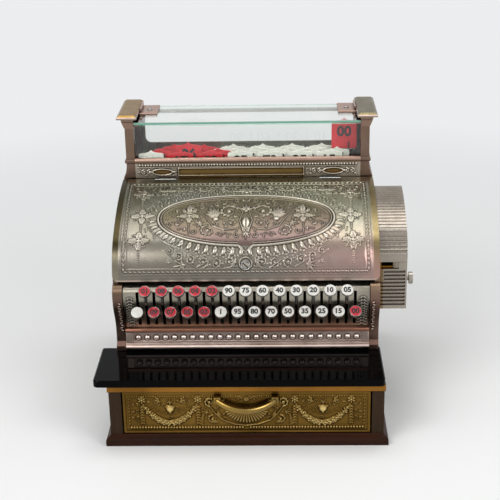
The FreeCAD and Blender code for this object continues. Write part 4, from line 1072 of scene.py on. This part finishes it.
def key_cap(row, number, x):
    """A cap on its stem: the red ones have a narrow metal rim, the white ones a grey metal skirt that paints
    the shade on the cap's lower side.
    """
    red = number in RED_KEYS[row]
    turn = Matrix.Rotation(pi / 2 - KEY_TILT, 4, "X")
    place = Matrix.Translation(Vector((x, *CAPS[row])) * MM) @ turn
    parts = Parts()
    stem = [(2.2, -14.0), (3.0, -12.0), (5.4, -8.0), (8.0, -5.6), (9.36, -4.6), CAP_FOOT]
    parts.turn(stem, 40, KEY_RIM, place)
    if red:
        rim = [CAP_FOOT, (9.42, -0.3), (9.25, 0.2), (9.0, 0.32), (8.75, 0.12)]
        parts.turn(rim, 48, KEY_RIM, place)
        dish = [(8.85, 0.0), (8.7, 0.2), (6.0, 0.38), (3.0, 0.48), (0.4, 0.5)]
    else:
        # Painted shade: the grey skirt stands for the shade under the white dish.
        skirt = [CAP_FOOT, (9.44, -3.9), (9.46, -1.2), (9.4, -0.9)]
        parts.turn(skirt, 48, KEY_RIM, place, closed=False)
        dish = [(9.3, -1.2), (9.38, -0.7), (9.2, 0.1), (8.6, 0.5), (6.5, 0.8), (3.5, 0.95), (0.4, 1.0)]
    parts.turn(dish, 48, RED if red else WHITE, place)
    if LABELS[row][number]:
        lift = Matrix.Translation((0, 0, (dish[-1][1] - 0.02) * MM))
        parts.add(text_mesh(LABELS[row][number], **KEY_TEXT), INK, place @ lift)
    name = f"{row}_key_{number + 1:02d}"
    parts.build(name + "_cap", name + "_body", "key_red" if red else "key_white")


for row, number, x in key_places():
    key_cap(row, number, x)


# Keyboard plate and leaf chains
class Skin:
    """A smooth line in the YZ plane, from a list of points, measured along itself."""

    def __init__(self, points):
        self.points, self.along = measured(points)
        self.slope = np.gradient(self.points, self.along, axis=0)

    def place(self, s, lift):
        y, z = (np.interp(s, self.along, self.points[:, k]) for k in (0, 1))
        dy, dz = (np.interp(s, self.along, self.slope[:, k]) for k in (0, 1))
        size = np.hypot(dy, dz)
        return y + lift * dz / size, z - lift * dy / size

    def at_height(self, z):
        """Distance along the line to a height on its falling part."""
        return float(np.interp(-z, -self.points[:, 1], self.along))


def front_line(inset):
    """The cheeks' outline, set in by a distance: brow, bulge and waist, from the top down."""
    run, rise = WAIST[0] - BULGE[0], BULGE[1] - WAIST[1]
    turn = 2 * atan(run / rise)
    radius = rise / (2 * sin(turn))
    brow, bulge, waist = BROW_RADIUS - inset, radius - inset, radius + inset
    line = []
    for a in np.linspace(pi / 2, 0, ARC_POINTS)[:-1]:
        line.append((BULGE[0] + BROW_RADIUS - brow * cos(a), BULGE[1] + brow * sin(a)))
    for a in np.linspace(0, turn, ARC_POINTS):
        line.append((BULGE[0] + radius - bulge * cos(a), BULGE[1] - bulge * sin(a)))
    for a in np.linspace(turn, 0, ARC_POINTS)[1:]:
        line.append((WAIST[0] - radius + waist * cos(a), WAIST[1] + waist * sin(a)))
    return line


def keyboard_plate():
    """The slotted plate as one smooth curve, in place of the CAD plate's short flats."""
    columns = [-PLATE_HALF]
    for i in range(KEY_COUNT):
        columns += [key_x(i) - SLOT_HALF, key_x(i) + SLOT_HALF]
    columns.append(PLATE_HALF)
    lines = []
    for inset in (PLATE_INSET, PLATE_INSET + PLATE_THICKNESS):
        line = front_line(inset)
        line = [(PLATE_BACK, line[0][1])] + line + [(WAIST[0] + inset, PLATE_FOOT)]
        heights = [p[1] for p in line]
        for z in (SLOT_HIGH, SLOT_LOW):
            k = next(i for i, h in enumerate(heights) if h < z)
            share = (line[k - 1][1] - z) / (line[k - 1][1] - line[k][1])
            y = line[k - 1][0] + (line[k][0] - line[k - 1][0]) * share
            near = k if abs(line[k][1] - z) < abs(line[k - 1][1] - z) else k - 1
            line[near] = (y, z)
            heights[near] = z
        lines.append(line)
    rows = len(lines[0])
    wide = len(columns)
    verts = [(x, y, z) for line in lines for y, z in line for x in columns]

    def kept(i, j):
        if not (0 <= i < wide - 1 and 0 <= j < rows - 1):
            return False
        middle = (lines[0][j][1] + lines[0][j + 1][1]) / 2
        return not (i % 2 and SLOT_LOW < middle < SLOT_HIGH)

    faces = []
    back = rows * wide
    for j in range(rows - 1):
        for i in range(wide - 1):
            if not kept(i, j):
                continue
            a, b, c, d = j * wide + i, j * wide + i + 1, (j + 1) * wide + i + 1, (j + 1) * wide + i
            faces.append((a, d, c, b))
            faces.append((a + back, b + back, c + back, d + back))
            for near, far, di, dj in ((a, b, 0, -1), (b, c, 1, 0), (c, d, 0, 1), (d, a, -1, 0)):
                if not kept(i + di, j + dj):
                    faces.append((near, far, far + back, near + back))
    used = sorted({v for face in faces for v in face})
    fresh = {v: k for k, v in enumerate(used)}
    verts = [tuple(c * MM for c in verts[v]) for v in used]
    faces = [tuple(fresh[v] for v in face) for face in faces]
    piece = new_object("keyboard_plate_smooth", verts, faces, DARK_NICKEL, "machine", "antique_nickel")
    piece.data.set_sharp_from_angle(angle=radians(40))
    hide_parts("keyboard_plate")


keyboard_plate()


def side_chains():
    """Embossed leaf chains on the plate's two ends and narrower ones on the cheeks."""
    line = Skin(front_line(PLATE_INSET))
    low, high = line.at_height(148.0), line.at_height(214.0)
    r = Relief(-8.0, 8.0, high, low, 0.4)
    count = 11
    pitch = (low - high - 6) / count
    for i in range(count):
        s = high + 3 + pitch * (i + 0.5)
        r.rosette(0, s, 1.9, 5, 1.0)
        for side in (-1, 1):
            r.leaf(side * 1.5, s - pitch * 0.3, pi / 2 - side * 0.9, 4.4, 1.8, 0.9, bend=side * 0.9)
            outward = side * 0.5 + (0 if side > 0 else pi)
            r.leaf(side * 2.0, s + pitch * 0.2, outward, 4.2, 1.7, 0.8, bend=-side * 0.9)
            r.dome(side * 6.2, s + pitch * 0.45, 0.9, 0.7)
    r.pair("plate_chain", lambda side, x, s, h: ((x + PLATE_CHAIN) * side, *line.place(s, h)), DARK_NICKEL,
           "machine", flipped=1, offset=0.1)
    line = Skin(front_line(0.0))
    low, high = line.at_height(144.0), line.at_height(205.0)
    r = Relief(-3.6, 3.6, high, low, 0.35)
    count = 13
    pitch = (low - high - 2) / count
    for i in range(count):
        s = high + 1 + pitch * (i + 0.5)
        sense = 1 if i % 2 else -1
        outward = sense * 0.6 + (0 if sense > 0 else pi)
        r.leaf(-sense * 1.4, s, outward, 4.2, 2.2, 1.0, bend=sense * 1.2)
        r.dome(sense * 1.5, s + pitch * 0.4, 1.2, 1.0)
    r.pair("cheek_chain", lambda side, x, s, h: ((x + CHEEK_CHAIN) * side, *line.place(s, h)), CHEEK,
           "machine", flipped=1, offset=0.1)


side_chains()


def hinge_bars():
    """Two bright strips along the hood's top edge."""
    outline = [(6.4, -0.2), (6.4, 1.2), (5.6, 1.7), (3.4, 1.7), (2.6, 1.2), (2.6, -0.2)]
    below, lift = np.array(outline).T
    ys, zs = (values.tolist() for values in hood_skin.place(hood_skin.length - below, lift))
    for side, name in ((1, "right"), (-1, "left")):
        rings = [[(x, y, z) for y, z in zip(ys, zs)] for x in sorted((side * 119.0, side * 154.0))]
        new_object(name + "_hinge_strip", *loft(rings), STEEL, "hood_lid", "steel", smooth=False)


hinge_bars()


# The directions of a block that stands on a front face
FRONT = ((1, 0, 0), (0, 0, 1))


def stud(centre, u, v, half_u, half_v, rise, bevel):
    """A bevelled block that stands on a face; u and v are the directions of its sides."""
    u, v = Vector(u), Vector(v)
    w = u.cross(v)
    rings = []
    for height, inset in ((-0.3, 0.0), (rise - bevel, 0.0), (rise, bevel)):
        corners = ((-1, -1), (1, -1), (1, 1), (-1, 1))
        rings.append([Vector(centre) + u * a * (half_u - inset) + v * b * (half_v - inset) + w * height
                      for a, b in corners])
    return loft(rings)


def dome_profile(radius, rise):
    """A low dome with a small foot."""
    profile = [(radius, -0.3), (radius, 0.15)]
    for a in np.linspace(0.12, pi / 2 - 0.08, 7):
        profile.append((radius * 0.94 * cos(a), 0.15 + (rise - 0.15) * sin(a)))
    return profile


def facing_front(x, y, z):
    """Turns local Z to the front and moves the origin to a point."""
    return Matrix.Translation(Vector((x, y, z)) * MM) @ Matrix.Rotation(pi / 2, 4, "X")


# Rails, pillars, lock and printer
def lower_rail():
    """Bosses along the rail under the keys, each on a dark disc of painted shadow, with raised ends and fine
    lines above and below them.
    """
    middle = (RAIL_FIELD_LOW + RAIL_FIELD_HIGH) / 2 - 0.6
    parts = Parts()
    for i in range(RAIL_BOSSES):
        spot = facing_front((i - (RAIL_BOSSES - 1) / 2) * BOSS_PITCH, RAIL_FIELD, middle)
        # Painted shadow: a dark disc under each boss.
        parts.turn(dome_profile(5.7, 0.5), 24, BOSS_SHADOW, spot)
        parts.turn(dome_profile(4.5, 3.6), 24, BOSS, spot)
    for side in (-1, 1):
        parts.add(stud((side * 186.6, RAIL_FIELD, middle + 0.6), *FRONT, 5.4, 8.9, 1.8, 0.7), RAIL_COPPER)
    for z in (RAIL_FIELD_HIGH - 1.2, RAIL_FIELD_LOW + 1.6):
        parts.add(stud((0, RAIL_FIELD, z), *FRONT, 181.0, 0.9, 1.0, 0.5), RAIL_COPPER)
    parts.build("lower_rail_bosses", "machine", "antique_brass")


lower_rail()


def top_rail():
    """Bead row, a recessed plain panel with a raised frame, and leaves around an oval at each end."""
    r = Relief(-184.0, 184.0, 340.0, 363.4, 0.6)
    r.beads([(-182, 360.4), (182, 360.4)], 4.8, 1.9, 1.5)
    r.stroke([(-183, 357.0), (183, 357.0)], 0.8, 0.8, 0.7)
    for z in (PANEL_LOW, PANEL_HIGH):
        r.stroke([(PANEL_LEFT, z), (PANEL_RIGHT, z)], 0.9, 0.9, 1.2)
    for x in (PANEL_LEFT, PANEL_RIGHT):
        r.stroke([(x, PANEL_LOW), (x, PANEL_HIGH)], 0.9, 0.9, 1.2)
    across, z = END_OVAL
    for middle in (-across, across):
        r.stroke(oval(middle, z, 16.5, 5.2, power=2.0, count=90), 0.9, 0.9, 1.3)
        for side in (-1, 1):
            r.leaf(middle + side * 17, z, 0 if side > 0 else pi, 7, 3.4, 1.3)
            for x in (middle + side * 22.0, middle + side * 31.0):
                if x < PANEL_LEFT - 8 or x > PANEL_RIGHT + 8:
                    r.scroll(x, z, 4.0, pi / 2, -side, 1.2, 0.8, 1.3, leaves=5)

    def bare(x, y):
        beside = x < PANEL_LEFT - 3 or x > PANEL_RIGHT + 3
        around = ((abs(x) - across) / 18) ** 2 + ((y - z) / 6.5) ** 2
        return beside and 341.5 < y < 356 and abs(x) < 181 and around > 1

    r.fill(4.2, bare, 3.2, 0.9)
    r.piece("top_rail_relief", lambda x, z, h: (x, TOP_RAIL_FRONT - h, z), TOP_RAIL, "machine",
            "antique_brass")


top_rail()


def pillar_details():
    """Dentils under each cap, and a slotted screw in each glass clip."""
    for side, name in ((-1, "left"), (1, "right")):
        parts = Parts()
        for i in range(5):
            place = (side * (189.2 + 3.7 * i), PILLAR_FRONT, DENTIL_HEIGHT)
            parts.add(stud(place, *FRONT, 1.15, 1.6, 0.7, 0.25), PILLAR)
        for i in range(27):
            place = (side * PILLAR_SIDE, 90.5 + 4.0 * i, DENTIL_HEIGHT)
            parts.add(stud(place, (0, side, 0), (0, 0, 1), 1.2, 1.6, 1.2, 0.3), PILLAR)
        x, y, z = side * CLIP_SCREW[0], CLIP_SCREW[1], CLIP_SCREW[2]
        head = [(4.2, -0.2), (4.2, 0.7), (3.5, 1.5), (2.0, 1.9), (0.3, 2.0)]
        parts.turn(head, 28, STEEL, Matrix.Translation(Vector((x, y, z)) * MM))
        parts.add(stud((x, y, z + 1.85), (0.8, 0.6, 0), (-0.6, 0.8, 0), 3.0, 0.45, 0.25, 0.05), INK)
        parts.build(name + "_cap_trim", "machine", "antique_brass")


pillar_details()


def lock_face():
    """Raised rim and slotted face on the lock barrel."""
    turn = Matrix.Rotation(pi / 2 - LOCK_TURN, 4, "X")
    place = Matrix.Translation(Vector((0, *LOCK_CENTRE)) * MM) @ turn
    rise = LOCK_RISE
    parts = Parts()
    rim = [(7.6, rise - 0.2), (7.6, rise + 0.7), (7.0, rise + 1.1), (6.1, rise + 1.0), (5.6, rise + 0.3)]
    parts.turn(rim, 40, KEY_RIM, place, closed=False)
    face = [(5.7, rise - 0.2), (5.7, rise + 0.25), (4.0, rise + 0.45), (0.3, rise + 0.5)]
    parts.turn(face, 40, DARK_NICKEL, place)
    corners = ((-5.3, -1.05), (5.3, -1.05), (5.3, 1.05), (-5.3, 1.05))
    slot = [[(x, y, h) for x, y in corners] for h in (rise - 0.1, rise + 0.62)]
    parts.add(loft(slot), INK, place @ Matrix.Rotation(LOCK_SLOT_TURN, 4, "Z"))
    parts.build("lock_face", "lock_barrel", "nickel")


lock_face()


def printer_throat():
    """Brass edge at the left of the ticket slot, a bevelled guide at its right and a brass lip below."""
    parts = Parts()
    parts.add(stud((211.6, -61.0, 239.0), *FRONT, 1.1, 5.6, 1.6, 0.4), RAIL_BRASS)
    guide = ((231.0, -60.0), (240.6, -62.5), (240.6, -55.5), (231.0, -55.5))
    lip = ((212.0, -59.2), (231.0, -59.2), (231.0, -56.0), (212.0, -56.0))
    for outline, top, material in ((guide, 244.2, CASE), (lip, 236.6, RAIL_BRASS)):
        parts.add(loft([[(x, y, z) for x, y in outline] for z in (THROAT_FOOT, top)]), material)
    parts.build("ticket_slot_guides", "machine", "nickel")


printer_throat()


# Flags
def flag_outline(half, low, top):
    """Half outline of a flag, from the foot of its right side to the peak."""
    shoulder = top - FLAG_SHOULDER
    points = [(half, low), (half, shoulder)]
    inner = half - FLAG_CORNER
    for a in np.linspace(0, pi / 2, 7)[1:]:
        points.append((inner + FLAG_CORNER * cos(a), shoulder + FLAG_CORNER * sin(a)))
    for t in np.linspace(0, 1, 12)[1:]:
        points.append((inner * (1 - t), top - 5.8 + 1.2 * sin(pi * 0.5 * t) + 4.6 * t ** 5))
    return points


def flag_piece(index, x, name, body, lift, red, label, peak):
    """A flag with bevelled edges, its number on both faces, and its rod."""
    y = FLAG_ROW_FRONT + FLAG_ROW_STEP * (index % 4)
    middle = x * FLAG_SPREAD
    top = peak + lift
    low = FLAG_PEAK - FLAG_HEIGHT + lift
    right = flag_outline(FLAG_HALF, low, top)
    outline = right + [(-px, pz) for px, pz in reversed(right[:-1])]
    bevel, half = FLAG_BEVEL, FLAG_THICKNESS / 2
    rings = []
    for depth, inset in ((-half, bevel), (-half + bevel, 0.0), (half - bevel, 0.0), (half, bevel)):
        scale = 1 - inset / FLAG_HALF
        rings.append([(middle + px * scale, y + depth, pz - (inset if pz > low + 5 else -inset))
                      for px, pz in outline])
    verts, faces = loft(rings)
    parts = Parts()
    parts.add((verts, [tuple(reversed(face)) for face in faces]), FLAG_RED if red else FLAG_WHITE)
    foot = (RESTING_ROD_FOOT if body == "machine" else MOVING_ROD_FOOT) + lift
    near, far = y - half, y + ROD_DEPTH - half
    corners = [(x - ROD_HALF, near), (x + ROD_HALF, near), (x + ROD_HALF, far), (x - ROD_HALF, far)]
    parts.add(loft([[(cx, cy, z) for cx, cy in corners] for z in (foot, low + 12)]), STEEL)
    if label:
        for side, turn in ((1, 0), (-1, pi)):
            move = Matrix.Translation(Vector((middle, y - side * half, top - 20.0)) * MM)
            spin = Matrix.Rotation(turn, 4, "Z") @ Matrix.Rotation(pi / 2, 4, "X")
            parts.add(text_mesh(label, **FLAG_TEXT), INK, move @ spin)
    return parts.build(name, body, "flag_red" if red else "flag_white")


def flags():
    for i, (row, number, x) in enumerate(key_places()):
        label, red = LABELS[row][number], number in RED_KEYS[row]
        name, body, lift, node = f"flag_{i + 1:02d}", "machine", 0.0, "resting_flags"
        if i == KEY_COUNT - 1:
            name, body, lift, node = "raised_flag_plate", "up_flag", FLAG_RAISE, "raised_flag"
        elif i == KEYED_FLAG:
            name, body, node = "keyed_flag_plate", "moving_flag", "keyed_flag"
        piece = flag_piece(i, x, name, body, lift, red, label, FLAG_PEAK + FLAG_EXTRA.get(i, 0.0))
        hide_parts(node)


flags()


# Camera, at the photograph's view
CAMERA_PLACE = (0.0623, -1.8003, 0.9529)
LENS = 85.67
# Yaw to the right, pitch down and roll, in degrees, from a camera that looks along Y
CAMERA_TURNS = (-1.853, 21.534, -1.167)


def camera():
    data = bpy.data.cameras.new("camera")
    data.lens = LENS
    data.sensor_width = 36.0
    piece = linked("camera", data)
    yaw, pitch, roll = (radians(angle) for angle in CAMERA_TURNS)
    level = cos(pitch)
    forward = Vector((sin(yaw) * level, cos(yaw) * level, -sin(pitch)))
    right = Vector((cos(yaw), -sin(yaw), 0))
    up = right.cross(forward)
    across = cos(roll) * right + sin(roll) * up
    upward = -sin(roll) * right + cos(roll) * up
    basis = Matrix((across, upward, -forward)).transposed().to_4x4()
    piece.matrix_world = Matrix.Translation(CAMERA_PLACE) @ basis
    scene.camera = piece


camera()


# Floor, light and background
BACKGROUND = (0.84, 0.85, 0.86, 1)
SKY_LIGHT = (0.8, 0.82, 0.85, 1)
FLOOR_HALF = 6.0
FLOOR_FADE = (0.45, 1.7)
LAMP_TARGET = Vector((0, 0, 0.2))
# name, place, width, height and watts
LAMPS = (
    ("key_light", (-1.2, -1.6, 2.0), 1.4, 1.0, 28),
    ("fill_light", (1.6, -1.2, 1.2), 1.2, 1.2, 16),
    ("top_light", (0.0, 0.3, 2.2), 1.6, 0.8, 14),
)


def shown_directly(tree):
    """1 for rays from the camera, from glossy metal and through glass, otherwise 0."""
    path = tree.nodes.new("ShaderNodeLightPath")
    total = path.outputs["Is Camera Ray"]
    for name in ("Is Glossy Ray", "Is Transmission Ray"):
        node = tree.nodes.new("ShaderNodeMath")
        node.operation = "MAXIMUM"
        tree.links.new(total, node.inputs[0])
        tree.links.new(path.outputs[name], node.inputs[1])
        total = node.outputs[0]
    return total


def paint_floor():
    """A pale matt floor that turns into the background far from the machine."""
    corners = [(x * FLOOR_HALF, y * FLOOR_HALF, 0) for x, y in ((-1, -1), (1, -1), (1, 1), (-1, 1))]
    mesh = bpy.data.meshes.new("floor")
    mesh.from_pydata(corners, [], [(0, 1, 2, 3)])
    floor = linked("floor", mesh)
    m = Nodes("floor_paint")
    m.color(m.mix(m.remap(m.noise(1.2), 0.3, 0.7), "ececea", "f0f0ee"))
    m.set(Roughness=0.8)
    reach = m.add("ShaderNodeVectorMath", operation="LENGTH")
    m.link(m.coords, reach.inputs[0])
    far = m.math("MULTIPLY", m.remap(reach.outputs["Value"], *FLOOR_FADE), shown_directly(m.tree))
    pale = m.add("ShaderNodeEmission")
    pale.inputs["Color"].default_value = BACKGROUND
    m.blend(far, pale)
    mesh.materials.append(m.material)


def background():
    """Soft light from all sides, and one pale colour where the background itself is seen."""
    world = bpy.data.worlds.new("world")
    scene.world = world
    world.use_nodes = True
    tree = world.node_tree
    tree.nodes.clear()
    output = tree.nodes.new("ShaderNodeOutputWorld")
    mix = tree.nodes.new("ShaderNodeMixShader")
    tree.links.new(shown_directly(tree), mix.inputs["Fac"])
    for number, color, strength in ((1, SKY_LIGHT, 0.5), (2, BACKGROUND, 1.0)):
        shade = tree.nodes.new("ShaderNodeBackground")
        shade.inputs["Color"].default_value = color
        shade.inputs["Strength"].default_value = strength
        tree.links.new(shade.outputs[0], mix.inputs[number])
    tree.links.new(mix.outputs[0], output.inputs["Surface"])


def lamps():
    for name, place, width, height, power in LAMPS:
        data = bpy.data.lights.new(name, "AREA")
        data.shape = "RECTANGLE"
        data.size = width
        data.size_y = height
        data.energy = power
        piece = linked(name, data)
        aim = (LAMP_TARGET - Vector(place)).to_track_quat("-Z", "Y")
        piece.matrix_world = Matrix.Translation(place) @ aim.to_matrix().to_4x4()


paint_floor()
background()
lamps()
